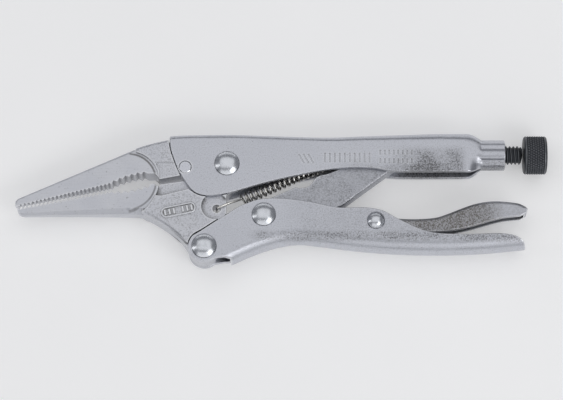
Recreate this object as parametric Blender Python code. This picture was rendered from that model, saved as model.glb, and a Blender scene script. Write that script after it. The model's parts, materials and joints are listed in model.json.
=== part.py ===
"""Long-nose locking pliers of the nine-inch class, lying flat, closed and locked.

Every shape is drawn in millimetres about the jaw rivet: +X runs to the adjusting screw, +Y to the
fixed handle's back and +Z through the thickness. The last lines move the whole tool so that its
origin is the middle of the face that it lies on.
"""
import math

import bmesh
import bpy
from mathutils import Matrix, Vector

MM = 0.001

# Lengths from the jaw rivet
NOSE_REACH = 89.7
FIXED_REACH = 118.2
MOVING_REACH = 126.8
LEVER_REACH = 127.2

# Pivots in the plane of the tool
JAW_RIVET = Vector((0.0, 0.0))
LUG_RIVET = Vector((-9.5, -36.0))
LINK_RIVET = Vector((15.6, -22.3))
LEVER_RIVET = Vector((62.9, -24.9))
JAW_PIN = Vector((-17.7, -1.5))
TOE = Vector((74.0, 5.4))

# Sheet, thicknesses and clearances: the channels are as wide as the screw inside them needs
SCREW_RADIUS = 4.0
CHANNEL_GAP = 0.4
SHEET = 2.2
HANDLE_HALF = SCREW_RADIUS + CHANNEL_GAP + SHEET
SIDE_GAP = 0.3
EDGE_GAP = 0.35
BODY_INSET = 0.2
BODY_HALF = HANDLE_HALF - BODY_INSET
TONGUE_HALF = HANDLE_HALF - SHEET - SIDE_GAP
HUB_RADIUS = 8.8
HUB_GAP = 0.5
LUG_RADIUS = 6.5
EAR_RADIUS = 6.7

# Jaw nose
NOSE_ROOT = -30.0
NOSE_CENTRE = Vector((-41.9, -7.6))
NOSE_RADIUS = 13.2
NOSE_STEP = 0.5
TIP_HALF = 1.9
FINE_PITCH = 1.75
FINE_DEPTH = 0.8
COARSE_COUNT = 6
COARSE_DEPTH = 1.1

# Rivets: shank radius, head radius
RIVET_GAP = 0.3
HEAD_GAP = 0.3
HEAD_RIM = 0.4
DOME_HEIGHT = 1.6
JAW_RIVET_SIZE = (3.2, 5.4)
LUG_RIVET_SIZE = (3.0, 5.4)
LINK_RIVET_SIZE = (3.0, 5.2)
LEVER_RIVET_SIZE = (2.2, 3.85)
PIN_RADIUS = 2.6

# Adjusting screw
THREAD_PITCH = 1.6
THREAD_DEPTH = 0.7
SCREW_GAP = 0.3
NECK_LENGTH = 10.0
NECK_SHOULDER = 7.0
NECK_WALL = 2.2
NECK_SLIT = 0.6
THREAD_SHOWN = 7.6
SCREW_INSIDE = 26.0
SPIGOT_RADIUS = 2.9
TOE_GAP = 5.0
KNOB_RADIUS = 8.15
KNOB_LENGTH = 9.8
KNOB_CHAMFER = 0.9

# Toggle link and release lever
LINK_WALL = 1.6
LINK_WEB = 2.0
LINK_HUB = 6.5
TOE_RADIUS = 4.2
LEVER_INSET = 0.2
LEVER_HALF = TONGUE_HALF - LEVER_INSET
LEVER_WALL = 1.5
LEVER_WEB = 1.6

# Spring
SPRING_RADIUS = 1.85
WIRE_RADIUS = 0.42
SPRING_PITCH = 2.2
SPRING_TURNS = 19
SPRING_START = 11.4
SPRING_HOLE = Vector((-4.3, -19.2))
SPRING_HOLE_RADIUS = 1.85
SPOT_FACE = Vector((-5.1, -18.5))
SPOT_FACE_RADIUS = 5.7
TAB_X = 58.3
TAB_THICK = 1.8
TAB_HALF = 2.6
TAB_DROP = 6.2
TAB_HOLE_DROP = 3.9
TAB_HOLE_RADIUS = 1.1

# Facets
ROUND_STEPS = 24
BEND_STEPS = 4
FLANK_STEPS = 5
CURVE_STEP = 3.2


def clear_scene():
    for item in list(bpy.data.objects):
        bpy.data.objects.remove(item, do_unlink=True)


def metal(name, colour, roughness, metallic=1.0):
    material = bpy.data.materials.new(name)
    material.use_nodes = True
    shader = material.node_tree.nodes["Principled BSDF"]
    shader.inputs["Base Color"].default_value = (*colour, 1.0)
    shader.inputs["Roughness"].default_value = roughness
    shader.inputs["Metallic"].default_value = metallic
    return material


def nickel_plate():
    return metal("nickel_plate", (0.62, 0.62, 0.64), 0.32)


def polished_rivet():
    return metal("polished_rivet", (0.74, 0.75, 0.77), 0.14)


def black_oxide():
    return metal("black_oxide", (0.03, 0.03, 0.035), 0.45)


def spring_steel():
    return metal("spring_steel", (0.22, 0.22, 0.23), 0.3)


# Drawing in the plane

def along_nose(share, y):
    """A point at a share of the nose's length, from its root at 0 to its tip at 1."""
    return (NOSE_ROOT - share * (NOSE_REACH + NOSE_ROOT), y)


def arc(centre, radius, start, end, steps=10):
    """Points on an arc, from one angle to another, in degrees."""
    turns = [math.radians(start + (end - start) * i / steps) for i in range(steps + 1)]
    return [(centre[0] + radius * math.cos(t), centre[1] + radius * math.sin(t)) for t in turns]


def curve(points, step=CURVE_STEP):
    """A smooth curve through the points: a centripetal Catmull-Rom spline."""
    knots = [Vector(p) for p in points]
    knots = [2 * knots[0] - knots[1]] + knots + [2 * knots[-1] - knots[-2]]
    drawn = [tuple(knots[1])]
    for a, b, c, d in zip(knots, knots[1:], knots[2:], knots[3:]):
        t1 = math.sqrt((b - a).length)
        t2 = t1 + math.sqrt((c - b).length)
        t3 = t2 + math.sqrt((d - c).length)
        count = max(1, round((c - b).length / step))
        for i in range(1, count + 1):
            t = t1 + (t2 - t1) * i / count
            ab = a.lerp(b, t / t1)
            bc = b.lerp(c, (t - t1) / (t2 - t1))
            cd = c.lerp(d, (t - t2) / (t3 - t2))
            abc = ab.lerp(bc, t / t2)
            bcd = bc.lerp(cd, (t - t1) / (t3 - t1))
            drawn.append(tuple(abc.lerp(bcd, (t - t1) / (t2 - t1))))
    return drawn


def height_at(path, x):
    """The height of a left-to-right path at x."""
    for (x0, y0), (x1, y1) in zip(path, path[1:]):
        if x <= x1:
            return y0 + (y1 - y0) * (x - x0) / (x1 - x0)
    return path[-1][1]


def beside(path, distance):
    """The path moved to its left by a distance, or to its right if that is negative."""
    moved = []
    for i, point in enumerate(path):
        before = Vector(path[max(i - 1, 0)])
        after = Vector(path[min(i + 1, len(path) - 1)])
        along = (after - before).normalized()
        moved.append((point[0] - distance * along.y, point[1] + distance * along.x))
    return moved


def teeth(start, end, count, depth, sag=0.0):
    """Teeth from start to end, with their tips on an arc of the given sag and roots to the left."""
    start, end = Vector(start), Vector(end)
    side = Vector((start.y - end.y, end.x - start.x)).normalized()
    drawn = []
    for i in range(2 * count + 1):
        share = i / (2 * count)
        lift = 4 * sag * share * (1 - share) + (depth if i % 2 else 0.0)
        drawn.append(tuple(start.lerp(end, share) + side * lift))
    return drawn


# Solids

def new_object(name, mesh_tool, material):
    bmesh.ops.remove_doubles(mesh_tool, verts=mesh_tool.verts, dist=1e-4)
    bmesh.ops.recalc_face_normals(mesh_tool, faces=mesh_tool.faces)
    mesh = bpy.data.meshes.new(name)
    mesh_tool.to_mesh(mesh)
    mesh_tool.free()
    if material:
        mesh.materials.append(material)
    item = bpy.data.objects.new(name, mesh)
    bpy.context.scene.collection.objects.link(item)
    return item


def prism(name, outline, low, high, material=None):
    """An outline extruded from one height to another; a height may be a function of x and y."""
    bm = bmesh.new()
    rings = []
    for height in (low, high):
        level = height if callable(height) else lambda x, y, z=height: z
        rings.append([bm.verts.new((x, y, level(x, y))) for x, y in outline])
    bm.faces.new(list(reversed(rings[0])))
    bm.faces.new(rings[1])
    for i in range(len(outline)):
        j = (i + 1) % len(outline)
        bm.faces.new((rings[0][i], rings[0][j], rings[1][j], rings[1][i]))
    return new_object(name, bm, material)


def skin(name, rings, material=None, closed=True):
    """Rings of points joined in a row, with a flat cap on each end."""
    bm = bmesh.new()
    rows = [[bm.verts.new(point) for point in ring] for ring in rings]
    count = len(rings[0])
    for a, b in zip(rows, rows[1:]):
        for i in range(count if closed else count - 1):
            j = (i + 1) % count
            bm.faces.new((a[i], a[j], b[j], b[i]))
    bm.faces.new(list(reversed(rows[0])))
    bm.faces.new(rows[-1])
    return new_object(name, bm, material)


def turned(name, profile, material=None, steps=ROUND_STEPS, axis="Z", centre=(0, 0, 0)):
    """A solid of revolution from (radius, distance along the axis) pairs."""
    rings = []
    for radius, along in profile:
        ring = []
        for i in range(steps):
            angle = 2 * math.pi * i / steps
            x, y = radius * math.cos(angle), radius * math.sin(angle)
            point = (x, y, along) if axis == "Z" else (along, x, y)
            ring.append(Vector(point) + Vector(centre))
        rings.append(ring)
    return skin(name, rings, material)


def combine(target, tool, operation):
    """Cuts, joins or intersects the target with a tool, which is then removed."""
    modifier = target.modifiers.new(tool.name, "BOOLEAN")
    modifier.operation = operation
    modifier.solver = "EXACT"
    modifier.object = tool
    bpy.context.view_layer.update()
    evaluated = target.evaluated_get(bpy.context.evaluated_depsgraph_get())
    mesh = bpy.data.meshes.new_from_object(evaluated)
    target.modifiers.clear()
    target.data = mesh
    bpy.data.objects.remove(tool, do_unlink=True)
    return target


def drill(target, at, radius, half=20.0):
    bar = turned("drill", [(radius, -half), (radius, half)], centre=(at[0], at[1], 0))
    return combine(target, bar, "DIFFERENCE")


def pocket_both_sides(target, outline, level, top=20.0):
    for low, high in ((level, top), (-top, -level)):
        combine(target, prism("pocket", outline, low, high), "DIFFERENCE")
    return target


# The two pressed handles: each is a channel lofted along its length

def channel_paths(back, lip, half, bend, wall, up):
    """Outer and inner outlines of a channel: from one lip over the back to the other lip."""
    paths = []
    for inset in (0.0, wall):
        radius = max(bend - inset, 0.4)
        flank = half - inset
        centre_y = back - up * (inset + radius)
        side = [(lip + (centre_y - lip) * i / FLANK_STEPS, -flank) for i in range(FLANK_STEPS + 1)]
        turn = [math.pi / 2 * i / BEND_STEPS for i in range(1, BEND_STEPS + 1)]
        corner = [(centre_y + up * radius * math.sin(t), radius - flank - radius * math.cos(t))
                  for t in turn]
        first = side + corner
        second = [(y, -z) for y, z in reversed(first)]
        paths.append(first + [(back - up * inset, 0.0)] + second)
    return paths


def neck_paths(axis_y, radius, wall, channel):
    """Outer and inner circles of the neck, open at the slit below, spaced like the channel."""
    bearings = [math.atan2(-z, axis_y - y) % (2 * math.pi) for y, z in channel]
    half_slit = math.asin(NECK_SLIT / 2 / radius)
    stretch = (math.pi - half_slit) / (math.pi - bearings[0])
    angles = [math.pi + (bearing - math.pi) * stretch for bearing in bearings]
    return [[(axis_y - size * math.cos(angle), -size * math.sin(angle)) for angle in angles]
            for size in (radius, radius - wall)]


def mix_paths(first, second, share):
    mixed = []
    for path_a, path_b in zip(first, second):
        mixed.append([(a[0] + (b[0] - a[0]) * share, a[1] + (b[1] - a[1]) * share)
                      for a, b in zip(path_a, path_b)])
    return mixed


def ring_at(x, paths):
    outer, inner = paths
    return [(x, y, z) for y, z in outer + list(reversed(inner))]


# Outlines of the handles

def fixed_x(share):
    return share * FIXED_REACH


FIXED_BACK = curve([(-27.0, 12.4), (-20.0, 13.0), (-12.0, 13.2), (3.0, 13.3), (18.0, 12.8),
                    (fixed_x(0.37), 12.2), (fixed_x(0.48), 12.8), (fixed_x(0.62), 13.5),
                    (fixed_x(0.77), 14.2), (fixed_x(0.86), 14.3)], 8.0)
CHEEK_FRONT = curve([(-24.6, 14.0), (-24.1, 7.5), (-22.8, 3.0), (-19.4, -5.1), (-14.6, -11.8),
                     (-11.1, -13.6), (-6.8, -14.1)])
CHEEK_BELOW = curve([(-6.8, -14.1), (0.6, -12.9), (15.8, -8.4), (fixed_x(0.27), -4.6),
                     (fixed_x(0.38), -2.3), (fixed_x(0.46), -1.7), (fixed_x(0.53), -2.1),
                     (fixed_x(0.58), -3.2), (fixed_x(0.69), -3.5), (fixed_x(0.85), -3.4)], 5.0)
FRONT_FACE = -24.5


def moving_x(share):
    return share * MOVING_REACH


MOVING_TOP = curve([(-14.3, -31.2), (-11.8, -29.8), (-5.5, -25.6), (0.6, -21.7), (5.3, -18.6),
                    (8.2, -17.4), (13.1, -15.7), (21.2, -15.1), (moving_x(0.27), -16.5),
                    (moving_x(0.37), -19.1), (moving_x(0.47), -19.2), (moving_x(0.52), -20.4),
                    (moving_x(0.58), -24.6), (moving_x(0.67), -29.5), (moving_x(0.78), -30.7),
                    (moving_x(0.93), -30.5), (moving_x(0.97), -31.7), (moving_x(0.99), -33.6),
                    (moving_x(1.0), -37.0)], 3.6)
MOVING_BACK = curve([(-18.0, -51.0), (2.5, -42.5), (10.4, -38.9), (21.2, -35.2), (30.0, -33.8),
                     (moving_x(0.30), -34.5), (moving_x(0.41), -36.3), (moving_x(0.52), -37.6),
                     (moving_x(0.64), -38.3), (moving_x(0.75), -38.3), (moving_x(0.86), -37.7),
                     (moving_x(1.02), -35.7)], 9.0)
SPINE_FRONT = 1.8


def moving_handle():
    """The squeezed handle: a channel open upwards, with two flat ears round the lug rivet."""
    half, full_bend = HANDLE_HALF, HANDLE_HALF - 0.2
    rings = []
    for x, back in MOVING_BACK:
        opening = min(max((x + 8.0) / 10.0, 0.0), 1.0)
        bend = 2.6 + (full_bend - 2.6) * opening
        rings.append(ring_at(x, channel_paths(back, -8.0, half, bend, SHEET, -1)))
    handle = skin("moving_handle", rings, nickel_plate())
    ear = arc(LUG_RIVET, EAR_RADIUS, -50, -225, 14)
    below = [(-1.0, -40.4), (SPINE_FRONT, -40.7), (SPINE_FRONT, -70.0), (140.0, -70.0),
             (140.0, -39.0), (MOVING_REACH, -39.0)]
    outline = ear + MOVING_TOP[1:] + list(reversed(below))
    combine(handle, prism("outline", outline, -20, 20), "INTERSECT")
    drill(handle, LUG_RIVET, LUG_RIVET_SIZE[0] + RIVET_GAP)
    drill(handle, LINK_RIVET, LINK_RIVET_SIZE[0] + RIVET_GAP)
    drill(handle, LEVER_RIVET, LEVER_RIVET_SIZE[0] + RIVET_GAP)
    return handle


def spring_tab(handle):
    """The tab that is bent down from the back to hold the spring's rear hook."""
    back = height_at(FIXED_BACK, TAB_X)
    low, high = back - TAB_DROP, back - SHEET / 2
    flat = [(TAB_X, low), (TAB_X + TAB_THICK, low), (TAB_X + TAB_THICK, high), (TAB_X, high)]
    combine(handle, prism("tab", flat, -TAB_HALF, TAB_HALF), "UNION")
    hole = [(TAB_HOLE_RADIUS, TAB_X - 2), (TAB_HOLE_RADIUS, TAB_X + TAB_THICK + 2)]
    bar = turned("hole", hole, steps=12, axis="X", centre=(0, back - TAB_HOLE_DROP, 0))
    combine(handle, bar, "DIFFERENCE")
    window = [(TAB_X + TAB_THICK + 0.4, back - 2 * SHEET), (TAB_X + TAB_DROP, back - 2 * SHEET),
              (TAB_X + TAB_DROP, back + SHEET), (TAB_X + TAB_THICK + 0.4, back + SHEET)]
    combine(handle, prism("window", window, -TAB_HALF, TAB_HALF), "DIFFERENCE")


def fixed_handle():
    """The fixed handle: a channel open downwards, swaged into a round neck for the screw."""
    neck_radius = SCREW_RADIUS + SCREW_GAP + NECK_WALL
    neck_start = FIXED_REACH - NECK_LENGTH
    shoulder = neck_start - NECK_SHOULDER
    rings = []
    for x, back in FIXED_BACK:
        if x < shoulder - 1.0:
            share = max(0.0, x / shoulder)
            bend = 2.8 + 2.4 * share ** 2
            rings.append(ring_at(x, channel_paths(back, -18.0, HANDLE_HALF, bend, SHEET, 1)))
    back = FIXED_BACK[-1][1]
    open_end = channel_paths(back, -3.6, HANDLE_HALF, 5.2, SHEET, 1)
    round_end = neck_paths(TOE.y, neck_radius, NECK_WALL, open_end[0])
    steps = 6
    for i in range(steps + 1):
        share = i / steps
        eased = share ** 2.2
        paths = mix_paths(open_end, round_end, eased)
        rings.append(ring_at(shoulder + NECK_SHOULDER * share, paths))
    rings.append(ring_at(FIXED_REACH, round_end))
    handle = skin("fixed_handle", rings, nickel_plate())
    end = CHEEK_BELOW[-1]
    outline = [(FRONT_FACE, 30.0)] + CHEEK_FRONT[1:] + CHEEK_BELOW[1:]
    outline += [(shoulder - 0.4, end[1]), (shoulder + 0.4, -10.0), (150.0, -10.0), (150.0, 30.0)]
    combine(handle, prism("outline", outline, -20, 20), "INTERSECT")
    spring_tab(handle)
    drill(handle, JAW_RIVET, JAW_RIVET_SIZE[0] + RIVET_GAP)
    drill(handle, JAW_PIN, PIN_RADIUS + RIVET_GAP)
    return handle


# The two jaws: forged bodies with their sides milled back where a handle covers them

def nose_taper(jaw):
    """Mills both flanks of the nose to a taper that ends in a round step."""
    reach = NOSE_REACH + NOSE_ROOT
    root_half = BODY_HALF - NOSE_STEP

    def flank(x, y):
        return TIP_HALF + (root_half - TIP_HALF) * (x + NOSE_REACH) / reach

    outline = arc(NOSE_CENTRE, NOSE_RADIUS, -90, 90, 16)
    outline += [(-NOSE_REACH - 5, NOSE_CENTRE.y + NOSE_RADIUS),
                (-NOSE_REACH - 5, NOSE_CENTRE.y - NOSE_RADIUS)]
    outline = [(x, y + 8.0 * math.copysign(1, y - NOSE_CENTRE.y)) if x < NOSE_CENTRE.x else (x, y)
               for x, y in outline]
    combine(jaw, prism("flank", outline, flank, 20.0), "DIFFERENCE")
    under = prism("flank", outline, -20.0, lambda x, y: -flank(x, y))
    combine(jaw, under, "DIFFERENCE")


def fixed_jaw():
    """The jaw that is pinned in the fixed handle's cheeks."""
    top = curve([along_nose(0.98, -14.0), along_nose(0.66, -5.9), along_nose(0.30, 3.2),
                 along_nose(0.154, 6.8), along_nose(0.072, 8.5), (FRONT_FACE - EDGE_GAP, 10.9)], 5)
    under_back = [(FRONT_FACE - EDGE_GAP, height_at(FIXED_BACK, FRONT_FACE) - SHEET - EDGE_GAP),
                  (-12.0, height_at(FIXED_BACK, -12.0) - SHEET - EDGE_GAP),
                  (-6.2, height_at(FIXED_BACK, -6.2) - SHEET - EDGE_GAP)]
    hollow = arc(JAW_RIVET, HUB_RADIUS + HUB_GAP, 132, 209, 8)
    seat = [(-19.8, -5.1), (-28.6, -6.8), (-29.8, -4.9), (-30.6, -4.2)]
    throat = teeth((-33.6, -4.2), along_nose(0.318, -8.6), COARSE_COUNT, -COARSE_DEPTH, -0.9)
    fine_start, fine_end = along_nose(0.318, -8.6), along_nose(0.975, -17.6)
    count = round((Vector(fine_start) - Vector(fine_end)).length / FINE_PITCH)
    bite = teeth(fine_start, fine_end, count, -FINE_DEPTH)
    tip = [along_nose(1.0, -17.4), along_nose(1.0, -15.2)]
    outline = top + under_back + hollow + seat + throat + bite[1:] + tip
    jaw = prism("fixed_jaw", outline, -BODY_HALF, BODY_HALF, nickel_plate())
    cheek = beside(CHEEK_FRONT + CHEEK_BELOW[1:4], -EDGE_GAP)
    cheek = [(FRONT_FACE - EDGE_GAP, 20.0), (FRONT_FACE - EDGE_GAP, 12.0)] + cheek[2:]
    pocket_both_sides(jaw, cheek + [(20.0, 20.0)], TONGUE_HALF)
    patch = [(-29.7, 0.8), (-30.0, -0.6), (-28.5, -3.2), (-28.5, -12.0), (-10.0, -12.0), (-10.0, 0.8)]
    pocket_both_sides(jaw, patch, BODY_HALF - 0.4)
    nose_taper(jaw)
    drill(jaw, JAW_PIN, PIN_RADIUS + RIVET_GAP)
    return jaw


def moving_jaw():
    """The jaw that swings on the jaw rivet, with a lug below for the moving handle."""
    fine_end = along_nose(0.318, -11.6)
    fine_start = along_nose(0.975, -18.3)
    count = round((Vector(fine_start) - Vector(fine_end)).length / FINE_PITCH)
    tip = [along_nose(0.994, -21.2), along_nose(0.994, -18.6)]
    bite = teeth(fine_start, fine_end, count, -FINE_DEPTH)
    throat = teeth(fine_end, (-32.2, -8.8), COARSE_COUNT, -COARSE_DEPTH, -0.9)
    lip = [(-30.9, -8.5), (-30.1, -9.1), (-29.2, -9.6), (-28.3, -8.5), (-18.5, -7.1)]
    hub = arc(JAW_RIVET, HUB_RADIUS, 226, -45, 24)
    rear = [(-0.3, -14.0), (-0.3, -26.0), (-2.2, -33.0)]
    lug = arc(LUG_RIVET, LUG_RADIUS, -8, -166, 12)
    below = curve([(-17.2, -35.2), (-19.8, -31.8), (-24.1, -28.1), (-28.4, -25.2), (-32.8, -22.7),
                   (-36.0, -21.7), (-41.4, -21.4), along_nose(0.66, -21.3),
                   along_nose(0.97, -21.5)], 5)
    outline = tip + bite + throat[1:] + lip + hub + rear + lug + below
    jaw = prism("moving_jaw", outline, -BODY_HALF, BODY_HALF, nickel_plate())
    cheek = beside(CHEEK_FRONT + CHEEK_BELOW[1:4], -EDGE_GAP)
    covered = [point for point in cheek if point[1] < -11.5]
    shelf = [(-30.7, -14.5), (-27.6, -14.0), (-16.3, -11.1)]
    nose_edge = arc(NOSE_CENTRE, NOSE_RADIUS, 10, -28, 6)
    pocket_both_sides(jaw, nose_edge + shelf[1:] + covered + [(20.0, -8.0), (20.0, 20.0), (-28.9, 20.0)],
                      TONGUE_HALF)
    ear_reach = EAR_RADIUS + EDGE_GAP
    ear_top = beside([point for point in MOVING_TOP if LUG_RIVET.x < point[0] < 10.0], EDGE_GAP)
    ear_round = arc(LUG_RIVET, ear_reach, 168, 112, 7)
    ear = ear_round + ear_top + [(12.0, -50.0), (-24.0, -50.0), (-24.0, -28.0), (-20.4, -31.0)]
    pocket_both_sides(jaw, ear, TONGUE_HALF)
    pocket_both_sides(jaw, arc(SPOT_FACE, SPOT_FACE_RADIUS, 0, 345, 23), TONGUE_HALF)
    nose_taper(jaw)
    drill(jaw, JAW_RIVET, JAW_RIVET_SIZE[0] + RIVET_GAP)
    drill(jaw, LUG_RIVET, LUG_RIVET_SIZE[0] + RIVET_GAP)
    drill(jaw, SPRING_HOLE, SPRING_HOLE_RADIUS)
    return jaw


# Link and lever: narrow channels inside the handles

def link_frame():
    """Turns link measures, along and across the line from its rivet to its toe, into the plane."""
    line = TOE - LINK_RIVET
    along = line.normalized()
    across = Vector((-along.y, along.x))
    return lambda u, v: tuple(LINK_RIVET + along * u + across * v)


def toggle_link():
    """The toggle link: a channel whose back is its lower edge, and whose toe meets the screw."""
    place = link_frame()
    reach = (TOE - LINK_RIVET).length
    hub = arc((0, 0), LINK_HUB, -75, -295, 16)
    top = [(17.6, 5.6), (18.8, 4.6), (23.1, 3.6), (27.5, 5.8), (33.2, 5.0), (reach - 6, 4.6)]
    toe = arc((reach, 0), TOE_RADIUS, 80, -96, 8)
    below = curve([(reach - 9, -5.4), (38.0, -8.9), (31.5, -10.2), (26.0, -10.2), (8.0, -7.4)], 6)
    outline = [place(u, v) for u, v in hub + top + toe + below]
    link = prism("toggle_link", outline, -TONGUE_HALF, TONGUE_HALF, nickel_plate())
    floor = [(reach - 8, -5.5 + LINK_WEB), (38.0, -8.9 + LINK_WEB), (26.0, -10.2 + LINK_WEB),
             (9.0, -7.4 + LINK_WEB), (6.0, -15.0), (-10.0, -15.0), (-10.0, 15.0), (reach - 8, 15.0)]
    inside = [place(u, v) for u, v in floor]
    hollow = prism("hollow", inside, LINK_WALL - TONGUE_HALF, TONGUE_HALF - LINK_WALL)
    combine(link, hollow, "DIFFERENCE")
    drill(link, LINK_RIVET, LINK_RIVET_SIZE[0] + RIVET_GAP)
    return link


def lever_x(share):
    """A place on the lever's tail, from its rivet at 0 to its end at 1."""
    return LEVER_RIVET.x + share * (LEVER_REACH - LEVER_RIVET.x)


def release_lever():
    """The release lever: a channel open downwards, with a thumb-shaped tail."""
    nose = LEVER_RIVET.x - 12.6
    top = curve([(nose, -24.2), (nose + 1.2, -22.9), (57.0, -21.6), (LEVER_RIVET.x, -21.0),
                 (lever_x(0.16), -23.0), (lever_x(0.39), -22.6), (lever_x(0.47), -21.0),
                 (lever_x(0.56), -18.7), (lever_x(0.66), -16.5), (lever_x(0.77), -15.4),
                 (lever_x(0.885), -15.8), (lever_x(0.95), -16.5), (lever_x(0.99), -17.8)], 4)
    tail = [(lever_x(1.0), -19.1), (lever_x(0.994), -20.8)]
    below = curve([(lever_x(0.95), -22.2), (lever_x(0.83), -23.1), (lever_x(0.72), -25.0),
                   (lever_x(0.60), -27.2), (lever_x(0.47), -28.8), (lever_x(0.15), -29.4),
                   (LEVER_RIVET.x, -29.6), (nose + 4, -28.0), (nose, -25.6)], 6)
    lever = prism("release_lever", top + tail + below, -LEVER_HALF, LEVER_HALF, nickel_plate())
    roof = [(x, y - LEVER_WEB) for x, y in top if nose + 4 < x < lever_x(0.97)]
    inside = roof + [(lever_x(0.975), -20.0), (lever_x(0.96), -40.0), (nose + 4, -40.0)]
    hollow = prism("hollow", inside, LEVER_WALL - LEVER_HALF, LEVER_HALF - LEVER_WALL)
    combine(lever, hollow, "DIFFERENCE")
    drill(lever, LEVER_RIVET, LEVER_RIVET_SIZE[0] + RIVET_GAP)
    return lever


# Rivets, pin, screw and spring

def rivet(name, at, size):
    """A shank with a low domed head on each side."""
    shank, head = size
    base = HANDLE_HALF + HEAD_GAP
    dome = []
    for i in range(1, 6):
        angle = math.pi / 2 * i / 5.5
        dome.append((head * math.cos(angle), base + HEAD_RIM + DOME_HEIGHT * math.sin(angle)))
    upper = [(shank, 0.0), (shank, base), (head, base), (head, base + HEAD_RIM)] + dome
    lower = [(radius, -z) for radius, z in reversed(upper[1:])]
    return turned(name, lower + upper[1:], polished_rivet(), centre=(at[0], at[1], 0))


def jaw_pin():
    """The flush pin that holds the fixed jaw between the cheeks."""
    edge = 0.3
    profile = [(PIN_RADIUS - edge, -HANDLE_HALF), (PIN_RADIUS, edge - HANDLE_HALF),
               (PIN_RADIUS, HANDLE_HALF - edge), (PIN_RADIUS - edge, HANDLE_HALF)]
    return turned("jaw_pin", profile, polished_rivet(), centre=(JAW_PIN.x, JAW_PIN.y, 0))


def adjusting_screw():
    """The threaded shank: crest and root rows wound along one helix."""
    steps = 16
    start = FIXED_REACH - SCREW_INSIDE
    end = FIXED_REACH + THREAD_SHOWN
    turns = int((end - start) / THREAD_PITCH - 1 + 1 / steps)
    bm = bmesh.new()
    rows = []
    for i in range(2 * turns + 1):
        radius = SCREW_RADIUS - (THREAD_DEPTH if i % 2 == 0 else 0.0)
        row = []
        for j in range(steps):
            angle = 2 * math.pi * j / steps
            x = start + THREAD_PITCH * (i / 2 + j / steps)
            point = (x, TOE.y + radius * math.cos(angle), radius * math.sin(angle))
            row.append(bm.verts.new(point))
        rows.append(row)

    def at(i, j):
        return rows[i][j] if j < steps else rows[i + 2][j - steps]

    last = len(rows) - 1
    for i in range(last):
        for j in range(steps):
            if j == steps - 1 and i + 3 > last:
                continue
            bm.faces.new((at(i, j), at(i, j + 1), at(i + 1, j + 1), at(i + 1, j)))
    for height, loop in (
            (start, [rows[0][j] for j in range(steps)] + [rows[2][0], rows[1][0]]),
            (end, [rows[last][j] for j in range(steps - 1, -1, -1)]
             + [rows[last - 2][steps - 1], rows[last - 1][steps - 1]])):
        centre = bm.verts.new((height, TOE.y, 0.0))
        for k, vertex in enumerate(loop):
            bm.faces.new((vertex, loop[(k + 1) % len(loop)], centre))
    return new_object("adjusting_screw", bm, black_oxide())


def screw_knob():
    """The knob on the screw's end, with chamfered rims."""
    start = FIXED_REACH + THREAD_SHOWN + SCREW_GAP
    end = start + KNOB_LENGTH
    profile = [(KNOB_RADIUS - KNOB_CHAMFER, start), (KNOB_RADIUS, start + KNOB_CHAMFER),
               (KNOB_RADIUS, end - KNOB_CHAMFER), (KNOB_RADIUS - KNOB_CHAMFER, end)]
    return turned("screw_knob", profile, black_oxide(), 32, "X", (0, TOE.y, 0))


def screw_nose():
    """The screw's smooth inner end, which faces the link's toe."""
    end = FIXED_REACH - SCREW_INSIDE - SCREW_GAP
    start = TOE.x + TOE_RADIUS + TOE_GAP
    profile = [(SPIGOT_RADIUS - 0.8, start), (SPIGOT_RADIUS, start + 0.8), (SPIGOT_RADIUS, end)]
    return turned("screw_nose", profile, black_oxide(), 16, "X", (0, TOE.y, 0))


def spring_route():
    """The spring's wire: front hook, coil and rear hook, as points in space."""
    back = height_at(FIXED_BACK, TAB_X)
    front = Vector((SPRING_HOLE.x, SPRING_HOLE.y, 0))
    rear = Vector((TAB_X, back - TAB_HOLE_DROP, 0))
    along = (rear - front).normalized()
    across = Vector((-along.y, along.x, 0))
    through = Vector((0, 0, 1))
    over = TONGUE_HALF + WIRE_RADIUS + 0.3
    route = [front - through * (TONGUE_HALF - 1.0), front + through * (TONGUE_HALF - 0.8),
             front + through * over + along * 0.9, front + through * over + along * 5.5,
             front + through * 3.4 + along * 8.4]
    per_turn = 10
    for i in range(SPRING_TURNS * per_turn + 1):
        angle = math.pi / 2 - 2 * math.pi * i / per_turn
        reach = SPRING_START + SPRING_PITCH * i / per_turn
        swing = across * math.cos(angle) + through * math.sin(angle)
        route.append(front + along * reach + swing * SPRING_RADIUS)
    end = SPRING_START + SPRING_PITCH * SPRING_TURNS
    route.append(front + along * (end + 2.2))
    route.append(rear)
    route.append(rear + Vector((TAB_THICK + 0.9, 0, 0)))
    route.append(rear + Vector((TAB_THICK + 1.6, -2.6, 0)))
    return route


def tension_spring():
    """The spring that pulls the jaws open: a round wire swept along its route."""
    route = spring_route()
    sides = 5
    rings = []
    normal = Vector((0, 1, 0))
    for i, point in enumerate(route):
        before = route[max(i - 1, 0)]
        after = route[min(i + 1, len(route) - 1)]
        along = (after - before).normalized()
        normal = (normal - along * normal.dot(along)).normalized()
        side = along.cross(normal)
        ring = []
        for k in range(sides):
            angle = 2 * math.pi * k / sides
            ring.append(point + (normal * math.cos(angle) + side * math.sin(angle)) * WIRE_RADIUS)
        rings.append(ring)
    return skin("tension_spring", rings, spring_steel())


# The assembly: empties on the joints' axes carry the moving pieces

def pivot(name, at, parent):
    empty = bpy.data.objects.new(name, None)
    empty.empty_display_size = 0.01
    bpy.context.scene.collection.objects.link(empty)
    empty.parent = parent
    offset = Vector((at[0], at[1], at[2])) * MM
    empty.location = offset - (world_of(parent) if parent else Vector((0, 0, 0)))
    empty["design_place"] = list(offset)
    return empty


def world_of(empty):
    return Vector(empty["design_place"])


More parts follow.
